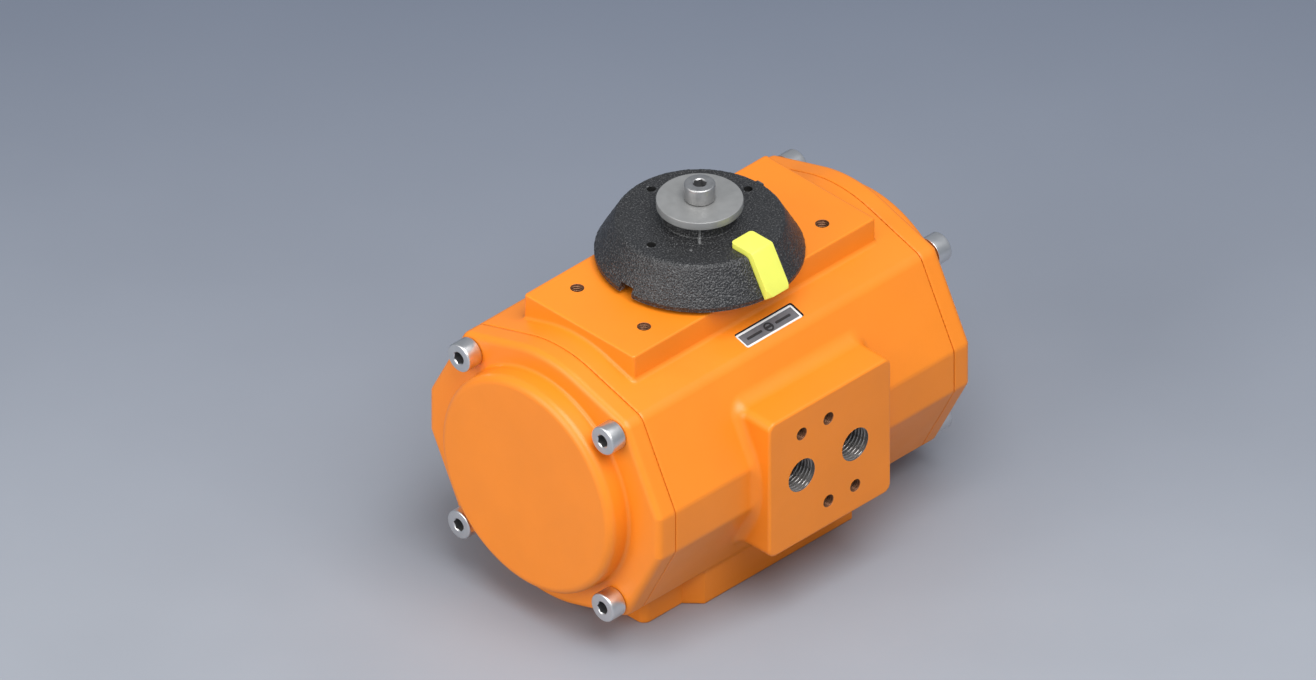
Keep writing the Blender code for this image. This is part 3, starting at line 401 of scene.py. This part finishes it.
def shade_from(mesh, distance):
    """Gives the corners of faces on the level set its own normals, and leaves the others as they are."""
    count = len(mesh.loops)
    corner = np.empty(count, int)
    mesh.loops.foreach_get("vertex_index", corner)
    points = np.empty(len(mesh.vertices) * 3)
    mesh.vertices.foreach_get("co", points)
    points = points.reshape(-1, 3) / MM
    centres = np.empty(len(mesh.polygons) * 3)
    mesh.polygons.foreach_get("center", centres)
    sizes = np.empty(len(mesh.polygons), int)
    mesh.polygons.foreach_get("loop_total", sizes)
    faces = np.repeat(np.arange(len(sizes)), sizes)
    centres = centres.reshape(-1, 3) / MM
    flat = np.empty(len(mesh.polygons) * 3)
    mesh.polygons.foreach_get("normal", flat)
    facing = flat.reshape(-1, 3)[faces]
    normals = np.empty(count * 3)
    mesh.corner_normals.foreach_get("vector", normals)
    normals = normals.reshape(-1, 3)
    near = points[corner] + (centres[faces] - points[corner]) * 0.2
    slope = gradient(distance, near, 0.05)
    on_skin = (np.abs(distance(centres))[faces] < 0.25) & ((slope * facing).sum(1) > 0.8)
    mesh.normals_split_custom_set(np.where(on_skin[:, None], slope, normals).tolist())


# ---------------------------------------------------------------- mesh tools


def add_object(name, mesh, *materials):
    obj = bpy.data.objects.new(name, mesh)
    bpy.context.scene.collection.objects.link(obj)
    for material in materials:
        mesh.materials.append(material)
    return obj


def mesh_of(name, points, faces):
    """A smooth mesh, from points in millimetres."""
    mesh = bpy.data.meshes.new(name)
    spots = (np.asarray(points, float) * MM).tolist()
    mesh.from_pydata(spots, [], [list(map(int, face)) for face in faces])
    mesh.shade_smooth()
    return mesh


def crisp(mesh, degrees=32):
    mesh.shade_smooth()
    mesh.set_sharp_from_angle(angle=radians(degrees))
    return mesh


def fixed(obj, degrees=32):
    """Applies every modifier, and sets which edges are sharp."""
    graph = bpy.context.evaluated_depsgraph_get()
    mesh = bpy.data.meshes.new_from_object(obj.evaluated_get(graph))
    obj.modifiers.clear()
    obj.data = mesh
    crisp(mesh, degrees)
    return obj


def boolean(target, operation, tool):
    """Cuts or joins at once, and removes the tool. The walls that it leaves keep the tool's material."""
    change = target.modifiers.new("change", "BOOLEAN")
    change.operation = operation
    change.solver = "EXACT"
    change.object = tool
    change.material_mode = "TRANSFER"
    fixed(target)
    bpy.data.objects.remove(tool)
    return target


def bevel(obj, width, segments=3, degrees=30):
    change = obj.modifiers.new("edge", "BEVEL")
    change.width = width * MM
    change.segments = segments
    change.limit_method = "ANGLE"
    change.angle_limit = radians(degrees)
    change.harden_normals = False
    return fixed(obj, 40)


def softened(corners, steps=5):
    """A line through (x, y, radius) corners, each one rounded. The two ends stay as they are."""
    points = [corners[0][:2]]
    for before, here, after in zip(corners, corners[1:], corners[2:]):
        spot, radius = Vector(here[:2]), here[2] if len(here) > 2 else 0
        back, ahead = Vector(before[:2]) - spot, Vector(after[:2]) - spot
        if radius == 0:
            points.append(tuple(spot))
            continue
        half = back.angle(ahead) / 2
        reach = min(radius / tan(half), back.length * 0.49, ahead.length * 0.49)
        first, last = spot + back.normalized() * reach, spot + ahead.normalized() * reach
        for k in range(steps + 1):
            t = k / steps
            weight = (1 - t) ** 2, 2 * t * (1 - t) * sin(half), t**2
            mixed = first * weight[0] + spot * weight[1] + last * weight[2]
            points.append(tuple(mixed / sum(weight)))
    return points + [corners[-1][:2]]


def ring_line(corners, steps=5):
    """A closed line through rounded corners."""
    return softened([corners[-1], *corners, corners[0]], steps)[1:-1]


def lathe(line, segments=96, closed=False):
    """Points and faces of a (radius, z) line turned about Z. An open line starts and ends on the axis."""
    angles = np.arange(segments) * 2 * pi / segments
    points, rows, faces = [], [], []
    for r, z in line:
        if r < 1e-6:
            rows.append([len(points)] * segments)
            points.append((0, 0, z))
        else:
            rows.append(list(range(len(points), len(points) + segments)))
            points += [(r * cos(a), r * sin(a), z) for a in angles]
    for one, two in zip(rows, rows[1:] + rows[: 1 if closed else 0]):
        for k in range(segments):
            n = (k + 1) % segments
            face = [one[k], two[k], two[n], one[n]]
            face = [v for i, v in enumerate(face) if v != face[i - 1]]
            if len(face) > 2:
                faces.append(face)
    return points, faces


def turned(name, line, material, segments=96, closed=False):
    mesh = mesh_of(name, *lathe(line, segments, closed))
    outward_faces(mesh)
    return add_object(name, crisp(mesh), material)


def outward_faces(mesh):
    bm = bmesh.new()
    bm.from_mesh(mesh)
    bmesh.ops.recalc_face_normals(bm, faces=bm.faces)
    bm.to_mesh(mesh)
    bm.free()


def slab(name, outline, low, high, material, along="Z"):
    """A flat outline made thick, from low to high. Along X the outline is (y, z), along Y it is (z, x)."""
    n = len(outline)
    order = {"Z": (0, 1, 2), "X": (2, 0, 1), "Y": (1, 2, 0)}[along]
    flat = [(x, y, low) for x, y in outline] + [(x, y, high) for x, y in outline]
    points = [tuple(p[k] for k in order) for p in flat]
    faces = [list(range(n)), list(range(n, 2 * n))]
    faces += [[k, (k + 1) % n, n + (k + 1) % n, n + k] for k in range(n)]
    mesh = mesh_of(name, points, faces)
    outward_faces(mesh)
    return add_object(name, crisp(mesh), material)


def block(name, low, high, material):
    (x, y, z), (a, b, c) = low, high
    return slab(name, [(x, y), (a, y), (a, b), (x, b)], z, c, material)


def moved(obj, matrix):
    """Moves the mesh itself, in millimetres, so that the object stays at the origin."""
    shift = matrix.copy()
    shift.translation *= MM
    obj.data.transform(shift)
    if matrix.determinant() < 0:
        obj.data.flip_normals()
    return obj


def merged(name, objects):
    """One object out of several that lie apart from each other."""
    bm = bmesh.new()
    materials = []
    for obj in objects:
        start = len(bm.faces)
        bm.from_mesh(obj.data)
        bm.faces.ensure_lookup_table()
        materials += [m for m in obj.data.materials if m not in materials]
        slots = [materials.index(m) for m in obj.data.materials]
        for face in bm.faces[start:]:
            face.material_index = slots[face.material_index]
        bpy.data.objects.remove(obj)
    mesh = bpy.data.meshes.new(name)
    bm.to_mesh(mesh)
    bm.free()
    return add_object(name, crisp(mesh), *materials)


def facing(spot, outward):
    """Stands on a spot, with its own Z along the outward direction."""
    turn = Vector((0, 0, 1)).rotation_difference(Vector(outward)).to_matrix().to_4x4()
    return Matrix.Translation(spot) @ turn


def rod(radius, depth, spot, outward, material, segments=48, point=0.0):
    """A drill that enters at the spot, against the outward direction, with an optional conical end."""
    line = [(0, 1.0), (radius, 1.0), (radius, -depth), (0, -depth - point)]
    return moved(turned("drill", line, material, segments), facing(spot, outward))


def ride(obj, body, slot, *nodes):
    """Parents a finished piece to the body that it moves with, and hides the CAD nodes it stands for. The
    slot is not used.
    """
    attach(obj, body)
    if nodes:
        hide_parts(*nodes)
    return obj


def thread_liner(name, minor, major, pitch, depth, wall, material, segments=64):
    """A tapped hole's wall as a closed sleeve with a helical thread. Its mouth is at z = 0."""
    rows = max(12, int(depth / pitch * 10))
    angles = np.arange(segments + 1)[:-1] * 2 * pi / segments
    z = -np.linspace(0, depth, rows + 1)
    phase = (-z[:, None] / pitch + angles[None, :] / (2 * pi)) % 1.0
    wave = np.clip(1.25 - np.abs(phase - 0.5) * 3.4, 0, 1)
    runout = np.clip((depth + z[:, None]) / pitch, 0, 1)
    radius = minor + (major - minor) * wave * runout
    x, y = radius * np.cos(angles), radius * np.sin(angles)
    inner = np.stack([x, y, np.broadcast_to(z[:, None], x.shape)], -1).reshape(-1, 3)
    top = np.stack([wall * np.cos(angles), wall * np.sin(angles), np.zeros(segments)], -1)
    bottom = top - (0, 0, depth)
    points = np.concatenate([inner, top, bottom])
    faces = []
    start, end = (rows + 1) * segments, (rows + 2) * segments
    for k in range(segments):
        n = (k + 1) % segments
        for row in range(0, start - segments, segments):
            faces.append((row + k, row + segments + k, row + segments + n, row + n))
        faces.append((rows * segments + k, end + k, end + n, rows * segments + n))
        faces.append((end + k, start + k, start + n, end + n))
        faces.append((start + k, k, n, start + n))
    mesh = mesh_of(name, points, faces)
    outward_faces(mesh)
    return add_object(name, crisp(mesh, 50), material)


# ---------------------------------------------------------------- housing


def roof_frame(y):
    """Stands on the sloping face of the port side: local Z points out of it, local X along the cylinder."""
    z = AXIS_Z + ARC_R * cos(ROOF) - (-y - ARC_R * sin(ROOF)) * tan(ROOF)
    return Matrix.Translation((0, y, z)) @ Matrix.Rotation(ROOF, 4, "X")


def casting(name, distance, low, high, node):
    """The surface of a distance function between two corners, kept inside the box of its CAD node."""
    points, quads = contour(distance, low, high, GRID)
    points = np.clip(points, *(np.array(corner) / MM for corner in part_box(node)))
    return add_object(name, mesh_of(name, points, quads), LOOK["paint"])


def bolt_circle(pcd):
    reach = pcd / 2 * sqrt(0.5)
    return [(x * reach, y * reach, 0) for x in (-1, 1) for y in (-1, 1)]


BOLT_Y, BOLT_H = 32.25, 32.4
BOLT_HOLE_R, BOLT_HOLE_DEPTH, BOLT_CLEARANCE_R = 3.2, 15.4, 3.3
PILOT_SPOTS = [(-PORT_X, 16), (0, 16), (0, -16), (PORT_X, -16)]
PORT_DEPTHS = {"left": 9.4, "right": 14.0}
LABEL_SIZE, LABEL_Y, LABEL_TOP, LABEL_FLOOR = (25.0, 6.0), -31.2, -0.6, -1.2


def tapped_spots():
    """Each set of tapped holes: name, spots with directions, minor and major radius, pitch and depth."""
    accessory = [((x, y, PAD_Z), (0, 0, 1)) for x in (-40, 40) for y in (-15, 15)]
    pilot = [((x, PORT_FACE_Y, AXIS_Z + h), (0, -1, 0)) for x, h in PILOT_SPOTS]
    below = {pcd: [(spot, (0, 0, -1)) for spot in bolt_circle(pcd)] for pcd in (50.0, 70.0)}
    return [
        ("accessory_threads", accessory, 2.1, 2.5, 0.8, 8.0),
        ("pilot_threads", pilot, 2.1, 2.5, 0.8, 10.0),
        ("small_flange_threads", below[50.0], 2.55, 3.0, 1.0, 12.0),
        ("large_flange_threads", below[70.0], 3.4, 4.0, 1.25, 12.0),
    ]


LIP = 0.4
PORT_THREAD, PORT_PITCH = (5.72, 6.58), 1.337


def tapped_hole(minor, major, depth):
    """A hole's profile: a painted lip, the wall behind the thread, and the drill's cone."""
    wall = major + 0.12
    line = [(0, 1.0), (minor + 1.1, 1.0), (minor + 0.1, -0.08), (minor + 0.1, -LIP)]
    return [*line, (wall, -LIP), (wall, -depth), (minor, -depth), (0, -depth - minor * 0.5)]


def make_housing():
    body = casting("housing_casting", housing_distance, (-64.1, -60.1, -2.3), (64.1, 54.1, 103.3), "body")
    metal = LOOK["metal"]
    cuts = [rod(BORE_R, 2 * BODY_HALF + 1, (BODY_HALF, 0, AXIS_Z), (1, 0, 0), metal, 180)]
    channel = (BODY_HALF, CHANNEL_Y, CHANNEL_Z)
    cuts.append(rod(CHANNEL_R, 2 * BODY_HALF + 1, channel, (1, 0, 0), metal, 24))
    for side in (-1, 1):
        for y in (-BOLT_Y, BOLT_Y):
            for h in (-BOLT_H, BOLT_H):
                spot = (side * BODY_HALF, y, AXIS_Z + h)
                cuts.append(rod(BOLT_HOLE_R, BOLT_HOLE_DEPTH, spot, (side, 0, 0), metal, 32, 1.5))
    # The tapped holes' lips and walls get the darkened paint, painted shade inside the holes.
    for _, spots, minor, major, _, depth in tapped_spots():
        hole = tapped_hole(minor, major, depth)
        for place in spots:
            cuts.append(moved(turned("hole", hole, LOOK["drilled"], 40), facing(*place)))
    width, height = LABEL_SIZE
    pocket = ring_line([(x, y, 0.8) for x, y in rectangle(width / 2 + 0.3, height / 2 + 0.3)])
    # The pocket's walls and floor get near-black painted shade.
    cuts.append(moved(slab("pocket", pocket, LABEL_FLOOR - 0.3, 1.0, LOOK["hollow"]), roof_frame(LABEL_Y)))
    boolean(body, "DIFFERENCE", merged("cuts", cuts))

    lower = [(0, -1), (20.4, -1), (19.2, 0.4), (19.2, 6.3), (17.5, 6.3), (17.5, 30), (0, 30)]
    upper = [(0, 61), (13.2, 61), (13.2, 97.2), (11.6, 97.2), (11.6, 103), (0, 103)]
    cuts = [turned("lower", lower, metal), turned("upper", upper, metal)]
    for side, sign in (("left", -1), ("right", 1)):
        hole = turned("port", tapped_hole(*PORT_THREAD, PORT_DEPTHS[side]), metal, 96)
        cuts.append(moved(hole, facing((sign * PORT_X, PORT_FACE_Y, AXIS_Z), (0, -1, 0))))
    boolean(body, "DIFFERENCE", merged("cuts", cuts))
    boolean(body, "DIFFERENCE", rod(2, 25, (-PORT_X, PORT_FACE_Y, AXIS_Z - 2.5), (0, -1, 0), metal, 24))
    shade_from(body.data, housing_distance)
    ride(body, "housing", "orange_paint", "body")

    for side, sign in (("left", -1), ("right", 1)):
        size = (*PORT_THREAD, PORT_PITCH, PORT_DEPTHS[side] - LIP, PORT_THREAD[1] + 0.16)
        liner = thread_liner(f"port_thread_{side}", *size, LOOK["thread"], 96)
        moved(liner, facing((sign * PORT_X, PORT_FACE_Y + LIP + 0.02, AXIS_Z), (0, -1, 0)))
        ride(liner, "housing", "cast_aluminium")
    for name, spots, minor, major, pitch, depth in tapped_spots():
        liners = []
        for spot, outward in spots:
            size = (minor, major, pitch, depth - LIP, major + 0.15)
            liner = thread_liner("liner", *size, LOOK["small_thread"], 32)
            inset = Vector(spot) - Vector(outward) * (LIP + 0.02)
            liners.append(moved(liner, facing(inset, outward)))
        ride(merged(name, liners), "housing", "cast_aluminium")


def rectangle(x, y):
    return [(x, y), (-x, y), (-x, -y), (x, -y)]


def make_label():
    """A sunk plate with a pale rim and a plain sign for a closed valve: a circle with a bar across it."""
    width, height = LABEL_SIZE
    rim, face = 0.75, LABEL_TOP - 0.25
    outer = ring_line([(x, y, 0.6) for x, y in rectangle(width / 2, height / 2)])
    inner = ring_line([(x, y, 0.3) for x, y in rectangle(width / 2 - rim, height / 2 - rim)])
    plate = slab("position_plate", outer, LABEL_FLOOR, LABEL_TOP, LOOK["rim"])
    boolean(plate, "DIFFERENCE", slab("sink", inner, face, 0.5, LOOK["field"]))
    low, high = face - 0.02, LABEL_TOP - 0.05
    line = [(1.75, low), (1.75, high), (1.2, high), (1.2, low)]
    parts = [turned("circle", line, LOOK["mark"], 48, closed=True)]
    for start, end in ((-9.6, -3.1), (-1.15, 1.15), (3.1, 9.6)):
        corners = ((end, 0.42), (start, 0.42), (start, -0.42), (end, -0.42))
        bar = ring_line([(x, y, 0.25) for x, y in corners])
        parts.append(slab("bar", bar, low, high, LOOK["mark"]))
    plate = merged("position_plate", [plate, *parts])
    moved(plate, roof_frame(LABEL_Y))
    ride(plate, "housing", "label_plate", "position_label")


# ---------------------------------------------------------------- end caps and their screws


def make_end_caps():
    metal = LOOK["metal"]
    low, high = (60.9, -54.1, -1.5), (80.1, 54.1, 103.3)
    cap = casting("end_cap_casting_right", cap_distance, low, high, "end_cap_right")
    recess = [(0, 74.2), (34, 74.2), (34, 61.5), (0, 61.5)]
    groove = [(41.15, 61.5), (41.15, 65.0), (38.65, 65.0), (38.65, 61.5)]
    along = Matrix.Translation((0, 0, AXIS_Z)) @ Matrix.Rotation(pi / 2, 4, "Y")
    cuts = [moved(turned("recess", recess, LOOK["cast"], 144), along)]
    cuts.append(moved(turned("groove", groove, metal, 144, closed=True), along))
    for y in (-BOLT_Y, BOLT_Y):
        for h in (-BOLT_H, BOLT_H):
            spot = (CAP_FACE + 1, y, AXIS_Z + h)
            cuts.append(rod(BOLT_CLEARANCE_R, 10, spot, (1, 0, 0), metal, 40))
    channel = (CAP_INNER, CHANNEL_Y, CHANNEL_Z)
    cuts.append(rod(3.4, 1.8, channel, (-1, 0, 0), metal, 32))
    boolean(cap, "DIFFERENCE", merged("cuts", cuts))
    boolean(cap, "DIFFERENCE", rod(CHANNEL_R, 5.5, channel, (-1, 0, 0), metal, 24))
    cross = (CAP_INNER + 4.4, CHANNEL_Y - 0.8, CHANNEL_Z)
    boolean(cap, "DIFFERENCE", rod(1.5, 16, cross, (0, -1, 0), metal, 24))
    shade_from(cap.data, cap_distance)
    twin = add_object("end_cap_casting_left", cap.data.copy())
    moved(twin, Matrix.Diagonal((-1, 1, 1, 1)))
    flip = np.array((-1.0, 1.0, 1.0))
    shade_from(crisp(twin.data), lambda points: cap_distance(points * flip))
    ride(cap, "housing", "orange_paint", "end_cap_right")
    ride(twin, "housing", "orange_paint", "end_cap_left")


HEAD, HEAD_R, SHANK_R, KEY_AF = 5.7, 5.0, 2.95, 4.0


def screw_mesh(name, length, metal):
    """An M6 socket-head screw: its own +Z points out of the head, and z = 0 is under the head."""
    line = [(0, HEAD), (HEAD_R, HEAD, 0.55), (HEAD_R, 0.0, 0.2), (SHANK_R, 0.0), (SHANK_R, -1.5)]
    line = softened(line + [(SHANK_R, -length, 0.6), (0, -length)], 6)
    screw = turned(name, line, metal, 96)
    key = KEY_AF / 2 / cos(pi / 6)
    hexagon = [(key * cos(a), key * sin(a)) for a in (pi / 6 + k * pi / 3 for k in range(6))]
    # The hex socket's walls and the drill end below take the socket's painted shade.
    boolean(screw, "DIFFERENCE", slab("key", hexagon, HEAD - 3.0, HEAD + 1, LOOK["worn"]))
    lead_in = [(0, HEAD + 1), (key + 0.9, HEAD + 1), (key + 0.1, HEAD), (key - 0.3, HEAD - 0.35)]
    boolean(screw, "DIFFERENCE", turned("lead_in", [*lead_in, (0, HEAD - 0.35)], metal, 48))
    drill_end = [(0, HEAD - 2.9), (1.95, HEAD - 2.9), (0, HEAD - 4.0)]
    boolean(screw, "DIFFERENCE", turned("drill_end", drill_end, LOOK["worn"], 48))
    return screw


def make_screws():
    pattern = screw_mesh("pattern", 22.0, LOOK["stainless"])
    for side, name in ((-1, "left"), (1, "right")):
        for y, where in ((-BOLT_Y, "front"), (BOLT_Y, "rear")):
            for h, level in ((BOLT_H, "upper"), (-BOLT_H, "lower")):
                bolt = add_object(f"cap_bolt_{name}_{where}_{level}", pattern.data.copy())
                turn = Matrix.Rotation(0.4 + 0.9 * (y > 0) + 0.5 * (h > 0) + 0.3 * side, 4, "Z")
                moved(bolt, facing((side * (CAP_FACE + 0.3), y, AXIS_Z + h), (side, 0, 0)) @ turn)
                ride(bolt, "housing", "stainless_steel", f"cap_screw_{name}_{where}_{level}")
    bpy.data.objects.remove(pattern)


# ---------------------------------------------------------------- indicator


CONE_LOW, CONE_TOP = PAD_Z + 1.4, PAD_Z + 15.2
CONE_WALL, HUB_LOW = 2.4, PAD_Z + 6.3
COLLAR_IN, COLLAR_R, HUB_R = 9.8, 12.0, 12.6
SHAFT_STEP, SHAFT_TOP = PAD_Z + 6.0, PAD_Z + 19.3
FLAT_HALF = 7.0
GAP = 0.3
PEG_RING = 21.7
POINTER_HALF, POINTER_START, POINTER_BEND, POINTER_END = 4.7, -18.5, -28.0, -36.0
POINTER_THICK, POINTER_RISE = 2.7, 1.8
DISC_R, DISC_THICK = 13.9, 2.8


def finely(line, step):
    """The same line with points no further apart than the step."""
    points = [line[0]]
    for one, two in zip(line, line[1:]):
        pieces = max(1, round((Vector(two) - Vector(one)).length / step))
        (x, y), (a, b) = one, two
        points += [(x + (a - x) * k / pieces, y + (b - y) * k / pieces) for k in range(1, pieces + 1)]
    return points


def leather(obj, size, depth, lowest_radius):
    """Moves the outer skin in and out by a pebbled field, so that the grain is in the shape too."""
    for vertex, normal in zip(obj.data.vertices, obj.data.vertex_normals):
        point = vertex.co / MM
        if point.xy.length < lowest_radius or normal.vector.z < -0.2:
            continue
        distances, _ = noise.voronoi(point / size)
        crease = min(1.0, (distances[1] - distances[0]) * 2.2)
        slow = noise.noise(point / (size * 2.3)) * depth * 0.4
        vertex.co += normal.vector * ((crease - 1.0) * depth + slow) * MM


def pointer_tool(name, grow, start, material):
    """The pointer's shape, flat on the cap and then down its slope. Grown, it cuts its seat in the cap."""
    top, thick = CONE_TOP + POINTER_RISE, POINTER_THICK + grow
    bend, tip = Vector((POINTER_BEND, top)), Vector((POINTER_END, PAD_Z + 3.4))
    down = (tip - bend).normalized()
    inward = Vector((-down.y, down.x)) * thick
    tip += down * grow
    low = top - thick
    inner_y = bend.x + inward.x + down.x / down.y * (low - bend.y - inward.y)
    line = [(start, top), (*bend, 1.2), tuple(tip), tuple(tip + inward), (inner_y, low), (start, low)]
    half, end = POINTER_HALF + grow, POINTER_END - grow
    tool = slab(name, ring_line(line, 6), -half, half, material, "X")
    corners = [(half, start, 1.3), (half, end, 1.3), (1.9 - half, end)]
    corners += [(-half, end + 1.5), (-half, start, 1.3)]
    plan = slab("plan", ring_line(corners), PAD_Z, PAD_Z + 30, material)
    return boolean(tool, "INTERSECT", plan)


def peg_hole(x, y, depth):
    # The peg holes' walls get near-black painted shade.
    return rod(1.5, depth, (x * PEG_RING, y * PEG_RING, CONE_TOP), (0, 0, 1), LOOK["hollow"], 32)


def make_indicator_cap():
    black = LOOK["black"]
    outer = [(COLLAR_IN, SHAFT_TOP), (COLLAR_R, SHAFT_TOP, 0.3), (COLLAR_R, CONE_TOP, 0.4)]
    outer += [(26.9, CONE_TOP, 2.2), (33.7, CONE_LOW + 1.7, 0.8), (33.5, CONE_LOW, 0.3), (31.3, CONE_LOW)]
    outer = finely(softened(outer, 6), 0.5)
    ceiling = CONE_TOP - CONE_WALL
    inner = [(25.0, ceiling), (HUB_R, ceiling), (HUB_R, HUB_LOW), (COLLAR_IN, HUB_LOW)]
    segments = 380
    cone = turned("indicator_cone", outer + inner, black, segments, closed=True)
    leather(cone, 1.0, 0.15, 14.5)
    boolean(cone, "DIFFERENCE", pointer_tool("seat", 0.25, POINTER_START + 0.25, black))
    half, reach = FLAT_HALF + GAP, 10.2
    for side in (-1, 1):
        low, high = sorted((side * half, side * reach))
        boolean(cone, "UNION", block("flat", (low, -6.0, HUB_LOW), (high, 6.0, SHAFT_TOP), black))
    tick = block("tick", (24.0, -1.5, ceiling), (27.5, 1.5, CONE_TOP - 0.1), black)
    boolean(cone, "UNION", bevel(tick, 0.35, 2))
    holes = [peg_hole(x, y, 2.0) for x, y in ((1, 0), (0, 1), (-1, 0))] + [peg_hole(0, -1, 6)]
    boolean(cone, "DIFFERENCE", merged("holes", holes))
    half, low, high = 2.75, CONE_LOW - 3, CONE_LOW + 3.5
    notch = ring_line([(half, low), (half, high, 0.6), (-half, high, 0.6), (-half, low)])
    boolean(cone, "DIFFERENCE", slab("notch", notch, -40, -28, black, "X"))
    crisp(cone.data, 45)
    ride(cone, "shaft", "black_plastic", "indicator_cap")


def make_pointer():
    yellow = LOOK["yellow"]
    pointer = bevel(pointer_tool("pointer_flag", 0.0, POINTER_START, yellow), 0.5, 4, 40)
    under = CONE_TOP + POINTER_RISE - POINTER_THICK
    boolean(pointer, "UNION", rod(1.2, 2.3, (0, -PEG_RING, under), (0, 0, 1), yellow, 32, 0.4))
    ride(pointer, "shaft", "yellow_plastic", "pointer")


def make_disc():
    low = SHAFT_TOP + GAP
    high = low + DISC_THICK
    line = ring_line([(DISC_R, low, 0.25), (DISC_R, high, 0.3), (3.2, high, 0.2), (3.2, low, 0.2)])
    disc = turned("indicator_disc", line, LOOK["disc"], 160, closed=True)
    ride(disc, "shaft", "grey_disc", "retaining_disc")
    screw = screw_mesh("indicator_bolt", 14.0, LOOK["bolt"])
    moved(screw, Matrix.Translation((0, 0, high + GAP)))
    ride(screw, "shaft", "stainless_steel", "indicator_screw")


# ---------------------------------------------------------------- shaft, seals, bushes and pistons


MODULE, TEETH, PRESSURE = 1.5, 18, radians(20)
GEAR_HALF = 15
SOCKET_HALF, SOCKET_TOP = 8.5, 19.8


def tooth_outline():
    """The pinion from above, with involute teeth."""
    pitch = MODULE * TEETH / 2
    tip, root, base = pitch + 0.97 * MODULE, pitch - 1.25 * MODULE, pitch * cos(PRESSURE)
    half_tooth = (pi * MODULE / 4 - 0.03) / pitch + tan(PRESSURE) - PRESSURE
    points = []
    for tooth in range(TEETH):
        middle = (tooth + 0.5) * 2 * pi / TEETH
        flank = []
        for r in np.linspace(max(base, root), tip, 8):
            angle = acos(min(1.0, base / r))
            flank.append((r, half_tooth - (tan(angle) - angle)))
        flank.insert(0, (root, flank[0][1]))
        line = [(r, middle - a) for r, a in flank] + [(r, middle + a) for r, a in flank[::-1]]
        points += [(r * cos(a), r * sin(a)) for r, a in line]
    return points


def make_shaft():
    steel = LOOK["steel"]
    top, step, upper, lower = SHAFT_TOP, SHAFT_STEP, 11.0, 17.0
    line = [(0, top), (9.5, top, 0.8), (9.5, step), (upper, step, 0.3)]
    line += [(upper, 105.95), (10.0, 105.95), (10.0, 104.45), (upper, 104.45)]
    line += [(upper, 100.8), (8.85, 100.8), (8.85, 98.0), (upper, 98.0), (upper, 65.5)]
    line += [(9.0, 65.5), (9.0, 36.5), (14.0, 36.5), (14.0, 22.0), (lower, 22.0, 0.4)]
    line += [(lower, 11.0), (14.2, 11.0), (14.2, 7.6), (lower, 7.6), (lower, 0.8, 1.0), (0, 0.8)]
    shaft = turned("drive_shaft", softened(line), steel, 144)
    gear = slab("teeth", tooth_outline(), AXIS_Z - GEAR_HALF, AXIS_Z + GEAR_HALF, steel)
    boolean(shaft, "UNION", gear)
    for side in (-1, 1):
        low, high = sorted((side * FLAT_HALF, side * 12.0))
        boolean(shaft, "DIFFERENCE", block("flat", (low, -12, step), (high, 12, top + 1), steel))
    boolean(shaft, "DIFFERENCE", rod(3.2, 14, (0, 0, top), (0, 0, 1), steel, 40, 1.5))
    for turn in (0, pi / 4):
        low, high = (-SOCKET_HALF, -SOCKET_HALF, -0.2), (SOCKET_HALF, SOCKET_HALF, SOCKET_TOP)
        square = block("square", low, high, steel)
        boolean(shaft, "DIFFERENCE", moved(square, Matrix.Rotation(turn, 4, "Z")))
    ride(shaft, "shaft", "machined_steel", "pinion_shaft")


def washer(node, body, slot, look, inner, outer, low, high):
    edge = min(0.3, (high - low) / 4)
    line = ring_line([(outer, low, edge), (outer, high, edge), (inner, high, edge), (inner, low, edge)])
    ride(turned(f"{node}_fine", line, LOOK[look], 144, closed=True), body, slot, node)


def seal(node, body, radius, thick, centre, towards=(0, 0, 1)):
    """A round rubber ring of a radius and thickness, about an axis through its centre."""
    angles = [k * pi / 12 for k in range(24)]
    line = [(radius + thick / 2 * cos(a), thick / 2 * sin(a)) for a in angles]
    ring = turned(f"{node}_fine", line, LOOK["rubber"], 144 if radius > 5 else 48, closed=True)
    ride(moved(ring, facing(centre, towards)), body, "nitrile_rubber", node)


def make_small_rings():
    washer("lower_shaft_bush", "housing", "white_acetal", "acetal", 17.3, 18.9, 0.6, 6.0)
    washer("upper_shaft_bush", "housing", "white_acetal", "acetal", 11.3, 12.9, 88.8, 96.9)
    washer("thrust_washer", "shaft", "white_acetal", "acetal", 11.3, 17.0, 101.7, 103.0)
    washer("steel_washer", "shaft", "machined_steel", "steel", 11.3, 16.5, 103.3, 104.2)
    seal("lower_shaft_seal", "shaft", 15.9, 2.7, (0, 0, 9.3))
    seal("upper_shaft_seal", "shaft", 10.25, 2.2, (0, 0, 99.4))
    for side, name in ((-1, "left"), (1, "right")):
        middle = [sum(ends) / 2 / MM for ends in zip(*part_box(f"end_cap_seal_{name}"))]
        seal(f"end_cap_seal_{name}", "housing", 39.9, 1.9, middle, (side, 0, 0))


def dress_kept_nodes():
    """The CAD nodes whose shape is already right get the finishes above."""
    kept = {"steel": ["retaining_ring"], "cast": ["piston_left", "piston_right"]}
    kept.update(acetal=[], rubber=[])
    for name in ("left", "right"):
        kept["acetal"] += [f"piston_guide_ring_{name}", f"rack_shoe_{name}"]
        kept["rubber"] += [f"piston_seal_{name}", f"air_channel_seal_{name}"]
    for look, nodes in kept.items():
        for node in nodes:
            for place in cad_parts[node].material_slots:
                place.material = LOOK[look]


# ---------------------------------------------------------------- assembly


LOOK = make_finishes()
set_camera()
set_stage()
make_housing()
make_label()
make_end_caps()
make_screws()
make_indicator_cap()
make_pointer()
make_disc()
make_shaft()
make_small_rings()
dress_kept_nodes()
